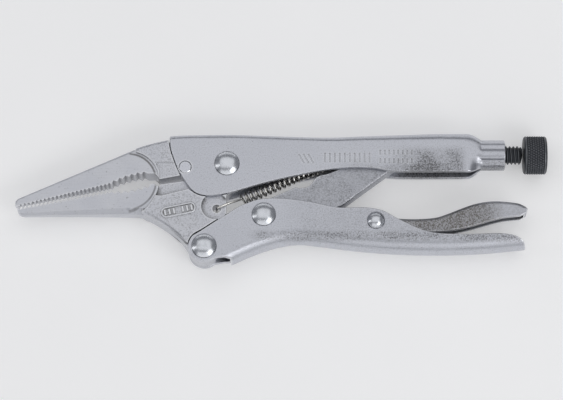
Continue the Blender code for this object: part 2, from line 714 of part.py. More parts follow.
def seat(item, empty):
    """Scales a piece to metres and hangs it on an empty without moving it."""
    item.data.transform(Matrix.Scale(MM, 4))
    item.data.transform(Matrix.Translation(-world_of(empty)))
    item.data.shade_smooth()
    item.data.set_sharp_from_angle(angle=math.radians(35))
    item.parent = empty


def stand_on_origin(root, items):
    """Moves the tool so that its origin is the middle of the face that it lies on."""
    bpy.context.view_layer.update()
    corners = [item.matrix_world @ vertex.co for item in items for vertex in item.data.vertices]
    low = [min(corner[i] for corner in corners) for i in range(3)]
    high = [max(corner[i] for corner in corners) for i in range(3)]
    root.location = (-(low[0] + high[0]) / 2, -(low[1] + high[1]) / 2, -low[2])


def build():
    clear_scene()
    root = pivot("tool", (0, 0, 0), None)
    jaw_swing = pivot("jaw_swing", (JAW_RIVET.x, JAW_RIVET.y, 0), root)
    handle_swing = pivot("handle_swing", (LUG_RIVET.x, LUG_RIVET.y, 0), jaw_swing)
    link_swing = pivot("link_swing", (LINK_RIVET.x, LINK_RIVET.y, 0), handle_swing)
    lever_swing = pivot("lever_swing", (LEVER_RIVET.x, LEVER_RIVET.y, 0), handle_swing)
    screw_feed = pivot("screw_feed", (FIXED_REACH, TOE.y, 0), root)
    screw_turn = pivot("screw_turn", (FIXED_REACH, TOE.y, 0), screw_feed)
    placed = [
        (fixed_handle(), root),
        (fixed_jaw(), root),
        (jaw_pin(), root),
        (rivet("pivot_rivet", JAW_RIVET, JAW_RIVET_SIZE), root),
        (tension_spring(), root),
        (moving_jaw(), jaw_swing),
        (moving_handle(), handle_swing),
        (rivet("lug_rivet", LUG_RIVET, LUG_RIVET_SIZE), handle_swing),
        (rivet("link_rivet", LINK_RIVET, LINK_RIVET_SIZE), handle_swing),
        (rivet("lever_rivet", LEVER_RIVET, LEVER_RIVET_SIZE), handle_swing),
        (toggle_link(), link_swing),
        (release_lever(), lever_swing),
        (screw_nose(), screw_feed),
        (adjusting_screw(), screw_turn),
        (screw_knob(), screw_turn),
    ]
    for item, empty in placed:
        seat(item, empty)
    stand_on_origin(root, [item for item, empty in placed])


build()
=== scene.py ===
import json
import math

import bmesh
import bpy
from mathutils import Matrix, Vector


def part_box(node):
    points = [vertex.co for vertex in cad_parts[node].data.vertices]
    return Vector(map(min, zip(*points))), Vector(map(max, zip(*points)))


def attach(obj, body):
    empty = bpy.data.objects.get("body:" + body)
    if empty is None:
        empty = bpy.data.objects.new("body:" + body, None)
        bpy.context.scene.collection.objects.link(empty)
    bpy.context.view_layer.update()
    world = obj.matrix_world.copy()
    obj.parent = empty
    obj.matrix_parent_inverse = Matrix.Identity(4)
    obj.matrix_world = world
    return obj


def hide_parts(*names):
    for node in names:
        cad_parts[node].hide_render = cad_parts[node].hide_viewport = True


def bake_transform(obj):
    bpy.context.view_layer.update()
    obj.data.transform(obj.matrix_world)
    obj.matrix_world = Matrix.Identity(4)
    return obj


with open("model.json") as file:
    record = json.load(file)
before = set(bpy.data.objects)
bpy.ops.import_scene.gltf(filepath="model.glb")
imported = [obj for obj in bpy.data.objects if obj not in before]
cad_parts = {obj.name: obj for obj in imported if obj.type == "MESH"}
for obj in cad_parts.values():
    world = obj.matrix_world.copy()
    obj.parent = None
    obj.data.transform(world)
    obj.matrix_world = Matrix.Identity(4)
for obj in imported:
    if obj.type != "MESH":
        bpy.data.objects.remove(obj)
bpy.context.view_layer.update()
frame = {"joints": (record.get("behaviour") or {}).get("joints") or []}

MM = 0.001


# ---- Fixed handle -------------------------------------------------------------------------------
# The upper handle is one nickel-plated steel sheet, pressed into a channel that is open downwards,
# with its rear squeezed round the screw into a fluted neck. It is skinned from cross-sections, cut
# along its outline, rounded, stamped with plain bars and drilled.

def middle_of(node):
    low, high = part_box(node)
    return (low + high) / 2


RIVET_PLACE = middle_of("pivot_rivet")


def drawn(place):
    """A place in the frame, in millimetres about the jaw rivet."""
    return (Vector(place) - RIVET_PLACE) / MM


PIVOTS = {joint["name"]: drawn(joint["pos_m"]) for joint in frame["joints"] if "pos_m" in joint}
SHEET = 2.2
HANDLE_HALF = (drawn(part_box("fixed_handle")[1]) - drawn(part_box("fixed_handle")[0])).z / 2
FIXED_REACH = drawn(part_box("fixed_handle")[1]).x
SCREW_AXIS_Y = PIVOTS["screw_spin"].y
FRONT_FACE = -24.5
EDGE_GAP = 0.35
NECK_OUTSIDE = 6.5
NECK_WALL = 2.2
NECK_LENGTH = 10.0
NECK_SHOULDER = 7.0
NECK_SLIT = 0.6
FLUTES = 7
FLUTE_DEPTH = 0.8
FRONT_LIP = -18.0
REAR_LIP = -3.6
NECK_STEPS = 14
NECK_EASE = 2.2
FRONT_BEND = 2.8
BEND_GROWTH = 2.4
REAR_BEND = 5.2
FLANK_STEPS = 12
BEND_STEPS = 8
CLEAR = 20.0
PIVOT_HOLE = 3.5
HANDLE_PIN_HOLE = 2.75
EDGE_ROUND = 0.5
SMOOTH_UNDER = 32
INTO_FRAME = Matrix.Translation(RIVET_PLACE) @ Matrix.Scale(MM, 4)


def arc(centre, radius, start, end, steps):
    """Points on an arc, from one angle to another, in degrees."""
    turns = [math.radians(start + (end - start) * i / steps) for i in range(steps + 1)]
    return [(centre[0] + radius * math.cos(t), centre[1] + radius * math.sin(t)) for t in turns]


def curve(points, step):
    """A smooth curve through the points: a centripetal Catmull-Rom spline."""
    knots = [Vector(p) for p in points]
    knots = [2 * knots[0] - knots[1]] + knots + [2 * knots[-1] - knots[-2]]
    path = [tuple(knots[1])]
    for a, b, c, d in zip(knots, knots[1:], knots[2:], knots[3:]):
        t1 = math.sqrt((b - a).length)
        t2 = t1 + math.sqrt((c - b).length)
        t3 = t2 + math.sqrt((d - c).length)
        count = max(1, round((c - b).length / step))
        for i in range(1, count + 1):
            t = t1 + (t2 - t1) * i / count
            ab = a.lerp(b, t / t1)
            bc = b.lerp(c, (t - t1) / (t2 - t1))
            cd = c.lerp(d, (t - t2) / (t3 - t2))
            abc = ab.lerp(bc, t / t2)
            bcd = bc.lerp(cd, (t - t1) / (t3 - t1))
            path.append(tuple(abc.lerp(bcd, (t - t1) / (t2 - t1))))
    return path


def height_at(path, x):
    """The height of a left-to-right path at x."""
    for (x0, y0), (x1, y1) in zip(path, path[1:]):
        if x <= x1:
            return y0 + (y1 - y0) * (x - x0) / (x1 - x0)
    return path[-1][1]


def beside(path, distance):
    """The path moved to its left by a distance, or to its right if that is negative."""
    moved = []
    for i, point in enumerate(path):
        before = Vector(path[max(i - 1, 0)])
        after = Vector(path[min(i + 1, len(path) - 1)])
        along = (after - before).normalized()
        moved.append((point[0] - distance * along.y, point[1] + distance * along.x))
    return moved


def new_object(name, data):
    """An object made of a mesh, a lamp or a camera, linked to the scene."""
    made = bpy.data.objects.new(name, data)
    bpy.context.scene.collection.objects.link(made)
    return made


def new_piece(name, solid):
    """Makes an object of a closed bmesh, with its faces turned outwards."""
    bmesh.ops.remove_doubles(solid, verts=solid.verts, dist=1e-4)
    bmesh.ops.recalc_face_normals(solid, faces=solid.faces)
    mesh = bpy.data.meshes.new(name)
    solid.to_mesh(mesh)
    solid.free()
    return new_object(name, mesh)


def skin(name, rings):
    """Rings of points joined in a row, with a flat cap on each end."""
    solid = bmesh.new()
    rows = [[solid.verts.new(point) for point in ring] for ring in rings]
    count = len(rings[0])
    for a, b in zip(rows, rows[1:]):
        for i in range(count):
            j = (i + 1) % count
            solid.faces.new((a[i], a[j], b[j], b[i]))
    solid.faces.new(list(reversed(rows[0])))
    solid.faces.new(rows[-1])
    return new_piece(name, solid)


def slab(name, outline, low, high):
    """An outline extruded from one height to another."""
    return skin(name, [[(x, y, z) for x, y in outline] for z in (low, high)])


def turned(name, profile, centre, axis="Z", steps=64):
    """A solid of revolution from (radius, distance along the axis) pairs."""
    rings = []
    for radius, along in profile:
        ring = []
        for i in range(steps):
            angle = 2 * math.pi * i / steps
            x, y = radius * math.cos(angle), radius * math.sin(angle)
            point = (x, y, along) if axis == "Z" else (along, x, y)
            ring.append(Vector(point) + Vector(centre))
        rings.append(ring)
    return skin(name, rings)


def as_mesh(piece):
    """Replaces a piece's mesh with what its modifiers make of it, and removes them."""
    bpy.context.view_layer.update()
    evaluated = piece.evaluated_get(bpy.context.evaluated_depsgraph_get())
    mesh = bpy.data.meshes.new_from_object(evaluated)
    piece.modifiers.clear()
    piece.data = mesh
    return piece


def combine(piece, tool, operation):
    """Cuts, joins or intersects the piece with a tool, which is then removed."""
    modifier = piece.modifiers.new(tool.name, "BOOLEAN")
    modifier.operation = operation
    modifier.solver = "EXACT"
    modifier.object = tool
    as_mesh(piece)
    bpy.data.objects.remove(tool, do_unlink=True)
    return piece


def drill(piece, at, radius):
    """Drills a hole through the whole thickness of a piece."""
    bit = turned("drill", [(radius, -CLEAR), (radius, CLEAR)], (at[0], at[1], 0))
    return combine(piece, bit, "DIFFERENCE")


def mill_both_sides(piece, outline, level):
    """Mills both sides of a piece down to a level, inside an outline."""
    for low, high in ((level, CLEAR), (-CLEAR, -level)):
        combine(piece, slab("mill", outline, low, high), "DIFFERENCE")
    return piece


def round_edges(piece, radius, steps=3, sharper_than=38):
    """Rounds the sharp edges of a piece."""
    solid = bmesh.new()
    solid.from_mesh(piece.data)
    bmesh.ops.remove_doubles(solid, verts=solid.verts, dist=0.03)
    bmesh.ops.dissolve_limit(solid, angle_limit=math.radians(0.3), verts=solid.verts, edges=solid.edges)
    limit = math.radians(sharper_than)
    edges = []
    for edge in solid.edges:
        if len(edge.link_faces) == 2 and edge.calc_face_angle() > limit:
            edges.append(edge)
    bmesh.ops.bevel(solid, geom=edges, offset=radius, offset_type="OFFSET", segments=steps,
                    profile=0.5, affect="EDGES", clamp_overlap=False, loop_slide=True)
    solid.to_mesh(piece.data)
    solid.free()
    return piece


def seat(piece, body, slot, material, *nodes):
    """Shades a finished piece, moves it into the frame and lets it stand for its CAD nodes."""
    piece.data.materials.clear()
    piece.data.materials.append(material)
    for face in piece.data.polygons:
        face.material_index = 0
    piece.data.shade_smooth()
    piece.data.set_sharp_from_angle(angle=math.radians(SMOOTH_UNDER))
    even = piece.modifiers.new("even", "WEIGHTED_NORMAL")
    even.keep_sharp = True
    as_mesh(piece)
    piece.data.transform(INTO_FRAME)
    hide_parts(*nodes)
    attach(piece, body)
    return piece


class Value:
    """A value that varies over a surface. A sum written with it adds the Math nodes."""

    def __init__(self, finish, socket):
        self.finish = finish
        self.socket = socket

    def maths(self, operation, first, second):
        return self.finish.node("ShaderNodeMath", {"operation": operation}, {0: first, 1: second})

    def __add__(self, other):
        return self.maths("ADD", self, other)

    def __radd__(self, other):
        return self.maths("ADD", other, self)

    def __sub__(self, other):
        return self.maths("SUBTRACT", self, other)

    def __rsub__(self, other):
        return self.maths("SUBTRACT", other, self)

    def __mul__(self, other):
        return self.maths("MULTIPLY", self, other)

    def __rmul__(self, other):
        return self.maths("MULTIPLY", other, self)

    def within(self, low, high):
        """A smooth step that is 0 at low and 1 at high."""
        return self.finish.node("ShaderNodeMapRange", {"interpolation_type": "SMOOTHSTEP"},
                                {"Value": self, "From Min": low, "From Max": high})


EDGE_REACH = 0.8
# The pale colour of rubbed edges, which also paints a highlight along them.
RUBBED_AND_HIGHLIGHT = (0.88, 0.89, 0.91, 1)
# The dark colour of pits and dust, which also paints shade into corners and grooves.
DUST_AND_SHADE = (0.19, 0.19, 0.195)


class Finish:
    """A material whose colour, roughness and bump are worked out on the piece's own coordinates."""

    def __init__(self, name, metallic=1.0, **constants):
        self.material = bpy.data.materials.new(name)
        self.material.use_nodes = True
        self.tree = self.material.node_tree
        self.shader = self.tree.nodes["Principled BSDF"]
        self.shader.inputs["Metallic"].default_value = metallic
        for socket, number in constants.items():
            self.shader.inputs[socket.replace("_", " ")].default_value = number
        self.place = self.node("ShaderNodeTexCoord", output="Object")

    def node(self, kind, settings=None, inputs=None, output=0):
        """Adds a node: its settings first, then the numbers, colours or links of its sockets."""
        made = self.tree.nodes.new(kind)
        for setting, value in (settings or {}).items():
            setattr(made, setting, value)
        for socket, value in (inputs or {}).items():
            if isinstance(value, Value):
                self.tree.links.new(value.socket, made.inputs[socket])
            else:
                made.inputs[socket].default_value = value
        return Value(self, made.outputs[output])

    def noise(self, size, detail=2.0, where=None, rough=0.5):
        """Noise whose blotches are about size millimetres across."""
        return self.node("ShaderNodeTexNoise", {"noise_dimensions": "3D"},
                         {"Vector": where or self.place, "Scale": 1 / (size * MM), "Detail": detail,
                          "Roughness": rough})

    def axis(self, name):
        """A coordinate in millimetres about the jaw rivet."""
        part = self.node("ShaderNodeSeparateXYZ", {}, {"Vector": self.place}, output=name)
        return (part - RIVET_PLACE["XYZ".index(name)]) * (1 / MM)

    def blend(self, share, first, second):
        """A colour between two colours."""
        return self.node("ShaderNodeMix", {"data_type": "RGBA"},
                         {0: share, 6: first, 7: second}, output=2)

    def painted_crease_shade(self, reach=2.6):
        """How deep a place lies in the piece's own corners and grooves, from 0 to 1: how much painted shade
        it gets.
        """
        open_sky = self.node("ShaderNodeAmbientOcclusion", {"only_local": True, "samples": 6},
                             {"Distance": reach * MM}, output="AO")
        return 1.0 - open_sky.within(0.4, 0.96)

    def edge(self):
        """How near a place lies to the piece's own outer edges, from 0 to 1: how much they are lightened as
        rubbed wear and a painted highlight.
        """
        thick = self.node("ShaderNodeAmbientOcclusion",
                          {"only_local": True, "inside": True, "samples": 5},
                          {"Distance": EDGE_REACH * MM}, output="AO")
        return 1.0 - thick.within(0.5, 0.95)

    def wear(self, colour, roughness, height, depth):
        """Connects the colour, the roughness and a relief of the given depth in millimetres."""
        bump = self.node("ShaderNodeBump", {},
                         {"Strength": 1.0, "Distance": depth * MM, "Height": height})
        for socket, value in (("Base Color", colour), ("Roughness", roughness), ("Normal", bump)):
            self.tree.links.new(value.socket, self.shader.inputs[socket])
        return self.material


def nickel_plate(name, pitted=None, light=0.66, gloss=0.34, relief=0.03, dull=0.0, dark_and_painted_shade=DUST_AND_SHADE):
    """Barrel-plated nickel over steel: fine orange peel, few pits, and rough pitted places.

    Its corners and grooves are darkened with painted shade, and its edges are lightened as rubbed wear and
    as a painted highlight. light is how much it reflects, gloss its roughness, relief the depth of its grain
    in millimetres, dull how dark its rough places are and dark_and_painted_shade the colour of pits and
    painted shade.
    """
    finish = Finish(name)
    peel = finish.noise(0.5, 2.0)
    cloud = finish.noise(14.0, 2.0)
    pores = finish.noise(0.8, 1.0).within(0.68, 0.76)
    rough_place = pitted(finish) if pitted else peel * 0.0
    dents = finish.noise(0.6, 3.0, rough=0.7).within(0.44, 0.64) * rough_place
    dark = dents * 0.75 + pores * 0.3 + (0.5 - peel).within(-0.16, 0.3) * 0.32 + rough_place * dull
    bright = (light * 0.965, light * 0.985, light * 1.06, 1)
    # Painted shade: the piece's own corners and grooves are darkened towards the dark colour, on top of its
    # pits and grain.
    colour = finish.blend(dark + finish.painted_crease_shade() * 0.85, bright, (*dark_and_painted_shade, 1))
    clouded = (light * 0.88, light * 0.9, light * 0.97, 1)
    tinted = finish.blend(cloud.within(0.35, 0.7) * 0.2, colour, clouded)
    # Painted highlight with rubbed wear: the outer edges are lightened towards a pale colour and made a
    # little smoother.
    rubbed = finish.edge()
    edged = finish.blend(rubbed * 0.75, tinted, RUBBED_AND_HIGHLIGHT)
    roughness = gloss + (peel - 0.5) * 0.18 + dents * 0.16 + (cloud - 0.5) * 0.12 - rubbed * 0.08
    height = peel * 0.8 - pores * 0.5 - dents * 1.3 + finish.noise(3.0, 1.0) * 1.2
    return finish.wear(edged, roughness, height, relief)


def fixed_handle_shade_and_pits(finish):
    """Painted shade and pits: darker and pitted low on the cheeks towards the rear, and on the neck's
    underside.
    """
    rear = finish.axis("X").within(66.0, 84.0)
    low = 1.0 - finish.axis("Y").within(3.0, 9.0)
    under_lip = finish.axis("X").within(40.0, 62.0) * (1.0 - finish.axis("Y").within(-2.5, 3.5)) * 0.6
    cheek = (rear * low + under_lip) * (1.0 - finish.axis("X").within(97.0, 102.5))
    neck = finish.axis("X").within(107.0, 109.0) * (1.0 - finish.axis("Y").within(0.5, 3.5)) * 0.8
    return cheek * (0.5 + finish.noise(9.0).within(0.35, 0.6) * 0.5) + neck


def fixed_x(share):
    return share * FIXED_REACH


FIXED_BACK = curve([(-27.0, 12.4), (-20.0, 13.0), (-12.0, 13.2), (3.0, 13.3), (18.0, 12.8),
                    (fixed_x(0.37), 12.2), (fixed_x(0.48), 12.8), (fixed_x(0.62), 13.5),
                    (fixed_x(0.77), 14.2), (fixed_x(0.86), 14.3)], 3.0)
CHEEK_FRONT = curve([(-24.6, 14.0), (-24.1, 7.5), (-22.8, 3.0), (-19.4, -5.1), (-14.6, -11.8),
                     (-11.1, -13.6), (-6.8, -14.1)], 1.0)
CHEEK_BELOW = curve([(-6.8, -14.1), (0.6, -12.9), (15.8, -8.4), (fixed_x(0.27), -4.6),
                     (fixed_x(0.38), -2.3), (fixed_x(0.46), -1.7), (fixed_x(0.53), -2.1),
                     (fixed_x(0.58), -3.2), (fixed_x(0.69), -3.5), (fixed_x(0.85), -3.4)], 2.0)


def channel_paths(back, lip, half, bend, wall, up):
    """Outer and inner outlines of a channel: from one lip over the back to the other lip."""
    paths = []
    for inset in (0.0, wall):
        radius = max(bend - inset, 0.4)
        flank = half - inset
        centre_y = back - up * (inset + radius)
        side = [(lip + (centre_y - lip) * i / FLANK_STEPS, -flank) for i in range(FLANK_STEPS + 1)]
        turn = [math.pi / 2 * i / BEND_STEPS for i in range(1, BEND_STEPS + 1)]
        corner = [(centre_y + up * radius * math.sin(t), radius - flank - radius * math.cos(t))
                  for t in turn]
        first = side + corner
        second = [(y, -z) for y, z in reversed(first)]
        paths.append(first + [(back - up * inset, 0.0)] + second)
    return paths


def neck_paths(fluted, channel):
    """Outer and inner outlines of the neck, open at the slit below, spaced like the channel."""
    bearings = [math.atan2(-z, SCREW_AXIS_Y - y) % (2 * math.pi) for y, z in channel]
    half_slit = math.asin(NECK_SLIT / 2 / NECK_OUTSIDE)
    stretch = (math.pi - half_slit) / (math.pi - bearings[0])
    angles = [math.pi + (bearing - math.pi) * stretch for bearing in bearings]
    paths = []
    for radius, depth in ((NECK_OUTSIDE, FLUTE_DEPTH * fluted), (NECK_OUTSIDE - NECK_WALL, 0.0)):
        path = []
        for angle in angles:
            size = radius - depth * (0.5 + 0.5 * math.cos(FLUTES * angle)) ** 3
            path.append((SCREW_AXIS_Y - size * math.cos(angle), -size * math.sin(angle)))
        paths.append(path)
    return paths


def mix_paths(first, second, share):
    """Outlines part of the way from the first ones to the second ones."""
    mixed = []
    for path_a, path_b in zip(first, second):
        mixed.append([(a[0] + (b[0] - a[0]) * share, a[1] + (b[1] - a[1]) * share)
                      for a, b in zip(path_a, path_b)])
    return mixed


def ring_at(x, paths):
    """One closed cross-section at x, from an outer and an inner outline."""
    outer, inner = paths
    return [(x, y, z) for y, z in outer + list(reversed(inner))]


def fixed_handle_shell():
    """The pressed channel and its neck, cut along the cheeks' outline."""
    neck_start = FIXED_REACH - NECK_LENGTH
    shoulder = neck_start - NECK_SHOULDER
    rings = []
    for x, back in FIXED_BACK:
        if x < shoulder - 1.0:
            bend = FRONT_BEND + BEND_GROWTH * max(0.0, x / shoulder) ** 2
            rings.append(ring_at(x, channel_paths(back, FRONT_LIP, HANDLE_HALF, bend, SHEET, 1)))
    back = FIXED_BACK[-1][1]
    open_end = channel_paths(back, REAR_LIP, HANDLE_HALF, REAR_BEND, SHEET, 1)
    for i in range(NECK_STEPS + 1):
        share = i / NECK_STEPS
        eased = share ** NECK_EASE
        paths = mix_paths(open_end, neck_paths(eased, open_end[0]), eased)
        rings.append(ring_at(shoulder + NECK_SHOULDER * share, paths))
    rings.append(ring_at(FIXED_REACH, neck_paths(1.0, open_end[0])))
    shell = skin("handle_fixed", rings)
    outline = [(FRONT_FACE, 30.0)] + CHEEK_FRONT[1:] + CHEEK_BELOW[1:]
    outline += [(shoulder + 3.0, CHEEK_BELOW[-1][1]), (shoulder + 3.4, -10.0),
                (150.0, -10.0), (150.0, 30.0)]
    combine(shell, slab("outline", outline, -CLEAR, CLEAR), "INTERSECT")
    return shell


TAB_X = 58.3
TAB_THICK = 1.8
TAB_HALF = 2.6
TAB_DROP = 6.2
TAB_HOLE = 1.1
TAB_HOLE_DROP = 3.9
TAB_CUT = 0.4
JAW_PIN = drawn(middle_of("jaw_pin"))


def spring_tab(shell):
    """The tab that is cut free on three sides and bent down to hold the spring's rear hook."""
    back = height_at(FIXED_BACK, TAB_X)
    low, high = back - TAB_DROP, back - SHEET / 2
    flat = [(TAB_X, low), (TAB_X + TAB_THICK, low), (TAB_X + TAB_THICK, high), (TAB_X, high)]
    combine(shell, slab("tab", flat, -TAB_HALF, TAB_HALF), "UNION")
    hole = [(TAB_HOLE, TAB_X - 2), (TAB_HOLE, TAB_X + TAB_THICK + 2)]
    combine(shell, turned("hole", hole, (0, back - TAB_HOLE_DROP, 0), "X", 24), "DIFFERENCE")
    front = TAB_X + TAB_THICK + TAB_CUT
    window = [(front, back - 2 * SHEET), (TAB_X + TAB_DROP, back - 2 * SHEET),
              (TAB_X + TAB_DROP, back + SHEET), (front, back + SHEET)]
    combine(shell, slab("window", window, -TAB_HALF, TAB_HALF), "DIFFERENCE")
    return shell


MARK_DEPTH = 0.22
MARK_WIDTH = 0.75


def bars(places, length, tilt, low, high):
    """Upright or slanted bars at the given places, as one tool for stamping or raising them."""
    solid = bmesh.new()
    size = Matrix.Diagonal((MARK_WIDTH, length, high - low, 1))
    for x, y in places:
        stand = Matrix.Translation((x, y, (low + high) / 2)) @ Matrix.Rotation(tilt, 4, "Z") @ size
        bmesh.ops.create_cube(solid, size=1.0, matrix=stand)
    return new_piece("bars", solid)


def stamp(shell):
    """Plain stamped bars where a maker would put a name: a large row, then two small rows."""
    low, high = HANDLE_HALF - MARK_DEPTH, HANDLE_HALF + 1.0
    emblem = [(31.5 + 2.0 * i, 2.2) for i in range(3)]
    large = [(41.5 + 2.1 * i, 2.6) for i in range(10)]
    small = [(65.0 + 1.9 * i, y) for y in (1.2, 5.0) for i in range(8)]
    for places, length, tilt in ((emblem, 4.6, 0.5), (large, 4.2, 0.0), (small, 2.1, 0.0)):
        combine(shell, bars(places, length, tilt, low, high), "DIFFERENCE")
    return shell


handle_fixed = stamp(round_edges(fixed_handle_shell(), EDGE_ROUND))
spring_tab(handle_fixed)
drill(handle_fixed, JAW_PIN, HANDLE_PIN_HOLE)
drill(handle_fixed, PIVOTS["jaw_pivot"], PIVOT_HOLE)
# The darkened lower rear of the cheeks and the neck's underside are painted shade, with pits in it.
seat(handle_fixed, "frame", "plated_sheet",
     nickel_plate("nickel_fixed_handle", fixed_handle_shade_and_pits, dull=0.3), "fixed_handle")


# ---- Fixed jaw ----------------------------------------------------------------------------------
# The upper jaw is a nickel-plated forging, pinned between the cheeks. Both flanks of its nose are
# ground to a taper that ends in a round step, and its bite has fine teeth, then coarse ones. Nose
# and body are built in layers, joined, and milled down where the handle covers them.

NOSE_REACH = -drawn(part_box("fixed_jaw")[0]).x
NOSE_ROOT = -30.0
NOSE_CENTRE = (-41.9, -7.6)
NOSE_RADIUS = 13.2
TIP_HALF = 1.9
BODY_INSET = 0.2
ROOT_INSET = 0.5
SIDE_GAP = 0.3
BODY_HALF = HANDLE_HALF - BODY_INSET
ROOT_HALF = BODY_HALF - ROOT_INSET
TONGUE_HALF = HANDLE_HALF - SHEET - SIDE_GAP
HUB_RADIUS = 8.8
HUB_GAP = 0.5
FINE_PITCH = 1.75
FINE_DEPTH = 0.8
COARSE_COUNT = 6
COARSE_DEPTH = 1.1
TOOTH_ROUND = 0.1
FORGED_ROUND = 0.12
WORN_ROUND = 0.13
JAW_PIN_HOLE = 2.9


def along_nose(share, y):
    """A point at a share of the nose's length, from its root at 0 to its tip at 1."""
    return (NOSE_ROOT - share * (NOSE_REACH + NOSE_ROOT), y)


def flank(x):
    """Half the nose's thickness at x: it tapers from its root to its tip."""
    return TIP_HALF + (ROOT_HALF - TIP_HALF) * (x + NOSE_REACH) / (NOSE_REACH + NOSE_ROOT)


def teeth(start, end, count, depth, sag=0.0):
    """Teeth from start to end, with their tips on an arc of the given sag."""
    start, end = Vector(start), Vector(end)
    side = Vector((start.y - end.y, end.x - start.x)).normalized()
    path = []
    for i in range(2 * count + 1):
        share = i / (2 * count)
        lift = 4 * sag * share * (1 - share) + (depth if i % 2 else 0.0)
        path.append(tuple(start.lerp(end, share) + side * lift))
    return path


def inward(outline):
    """At each point of a closed outline, the step inwards that moves its edges in by one."""
    area = sum(a[0] * b[1] - b[0] * a[1] for a, b in zip(outline, outline[1:] + outline[:1]))
    turn = 1 if area > 0 else -1
    steps = []
    for i, point in enumerate(outline):
        before, after = Vector(outline[i - 1]), Vector(outline[(i + 1) % len(outline)])
        first = (Vector(point) - before).normalized()
        second = (after - Vector(point)).normalized()
        normals = [Vector((-edge.y, edge.x)) * turn for edge in (first, second)]
        middle = (normals[0] + normals[1]).normalized()
        steps.append(middle / max(0.6, middle.dot(normals[0])))
    return steps


def forging(name, outline, half, rounding, steps=4, bevelled=False):
    """A flat forging about the middle plane, whose edges are rounded or bevelled point by point."""
    layers = []
    for i in range(steps + 1):
        turn = math.pi / 2 * i / steps
        out = i / steps if bevelled else math.sin(turn)
        down = i / steps if bevelled else 1 - math.cos(turn)
        ring = []
        for point, step in zip(outline, inward(outline)):
            radius = rounding(point)
            x, y = Vector(point) + step * radius * (1 - out)
            ring.append((x, y, half(x) - radius * down))
        layers.append(ring)
    under = [[(x, y, -z) for x, y, z in ring] for ring in layers]
    return skin(name, under + list(reversed(layers)))


def jaw_steel(name):
    """Nickel over a forging: grainy where it was only forged, smooth where the nose was ground."""
    finish = Finish(name)
    x = finish.axis("X")
    side = finish.node("ShaderNodeVectorMath", {"operation": "DISTANCE"},
                       {0: finish.place, 1: RIVET_PLACE + Vector((*NOSE_CENTRE, 0)) * MM}, output="Value")
    ground = (1.0 - side.within((NOSE_RADIUS + 0.8) * MM, (NOSE_RADIUS + 1.6) * MM))
    ahead = 1.0 - x.within(NOSE_CENTRE[0], NOSE_CENTRE[0] + 1.0)
    smooth = finish.node("ShaderNodeMath", {"operation": "MAXIMUM"}, {0: ground, 1: ahead})
    peel = finish.noise(0.62, 2.5, rough=0.6)
    cloud = finish.noise(11.0, 2.0)
    pores = finish.noise(0.9, 1.0).within(0.68, 0.76)
    grain = (1.0 - smooth) * 0.8 + 0.2
    along_strokes = finish.node("ShaderNodeMapping", {}, {"Vector": finish.place,
                                                          "Rotation": (0, 0, 0.35),
                                                          "Scale": (0.16, 3.2, 1)})
    strokes = finish.noise(1.0, 2.0, where=along_strokes)
    # Painted shade: a dark band along the round step behind the nose, where the step's shadow falls.
    step = side.within((NOSE_RADIUS - 0.5) * MM, (NOSE_RADIUS - 0.1) * MM)
    step = step * (1.0 - side.within((NOSE_RADIUS + 0.2) * MM, (NOSE_RADIUS + 0.6) * MM))
    step = step * (1.0 - ahead) * 0.8
    dark = (0.52 - peel).within(-0.08, 0.34) * grain * 0.62 + pores * 0.35
    dark = dark + (strokes - 0.5) * smooth * 0.25
    bright = (0.64, 0.65, 0.69, 1)
    # Painted shade: the dark colour also fills the piece's own corners and grooves and the band along the
    # step, besides its grain and pores.
    colour = finish.blend(dark + step + finish.painted_crease_shade() * 0.85, bright, (0.15, 0.147, 0.145, 1))
    tinted = finish.blend(cloud.within(0.4, 0.7) * 0.3, colour, (0.57, 0.585, 0.64, 1))
    # Painted highlight with rubbed wear: the outer edges are lightened towards a pale colour.
    edged = finish.blend(finish.edge() * 0.75, tinted, RUBBED_AND_HIGHLIGHT)
    roughness = 0.33 + (peel - 0.5) * grain * 0.2 + (cloud - 0.5) * 0.1
    roughness = roughness + (strokes - 0.5) * smooth * 0.1
    height = peel * grain * 1.3 - pores * 0.8 + strokes * smooth * 0.35
    return finish.wear(edged, roughness, height, 0.035)


FIXED_TOP = curve([along_nose(0.98, -14.0), along_nose(0.66, -5.9), along_nose(0.30, 3.2),
                   along_nose(0.154, 6.8), along_nose(0.072, 8.5), (FRONT_FACE - EDGE_GAP, 10.9)], 2.0)
BODY_START = -38.6


def fixed_nose():
    """The fixed jaw's nose, with its bite; its root reaches into the body."""
    top = [point for point in FIXED_TOP if point[0] < BODY_START]
    root = [(-36.5, 6.9), (-31.0, 7.6), (-27.2, 6.0), (-27.2, -6.2), (-28.4, -6.6),
            (-29.8, -4.9), (-30.6, -4.2)]
    throat = teeth((-33.6, -4.2), along_nose(0.318, -8.6), COARSE_COUNT, -COARSE_DEPTH, -0.9)
    start, end = along_nose(0.318, -8.6), along_nose(0.975, -17.6)
    count = round((Vector(start) - Vector(end)).length / FINE_PITCH)
    bite = teeth(start, end, count, -FINE_DEPTH)[1:]
    tip = [along_nose(1.0, -17.4), along_nose(1.0, -15.2)]

    def rounding(point):
        on_top = point in top or point in root[:2] or point == tip[1]
        return 0.6 + 0.17 * flank(point[0]) if on_top else TOOTH_ROUND

    return forging("jaw_fixed", top + root + throat + bite + tip, flank, rounding, 6)


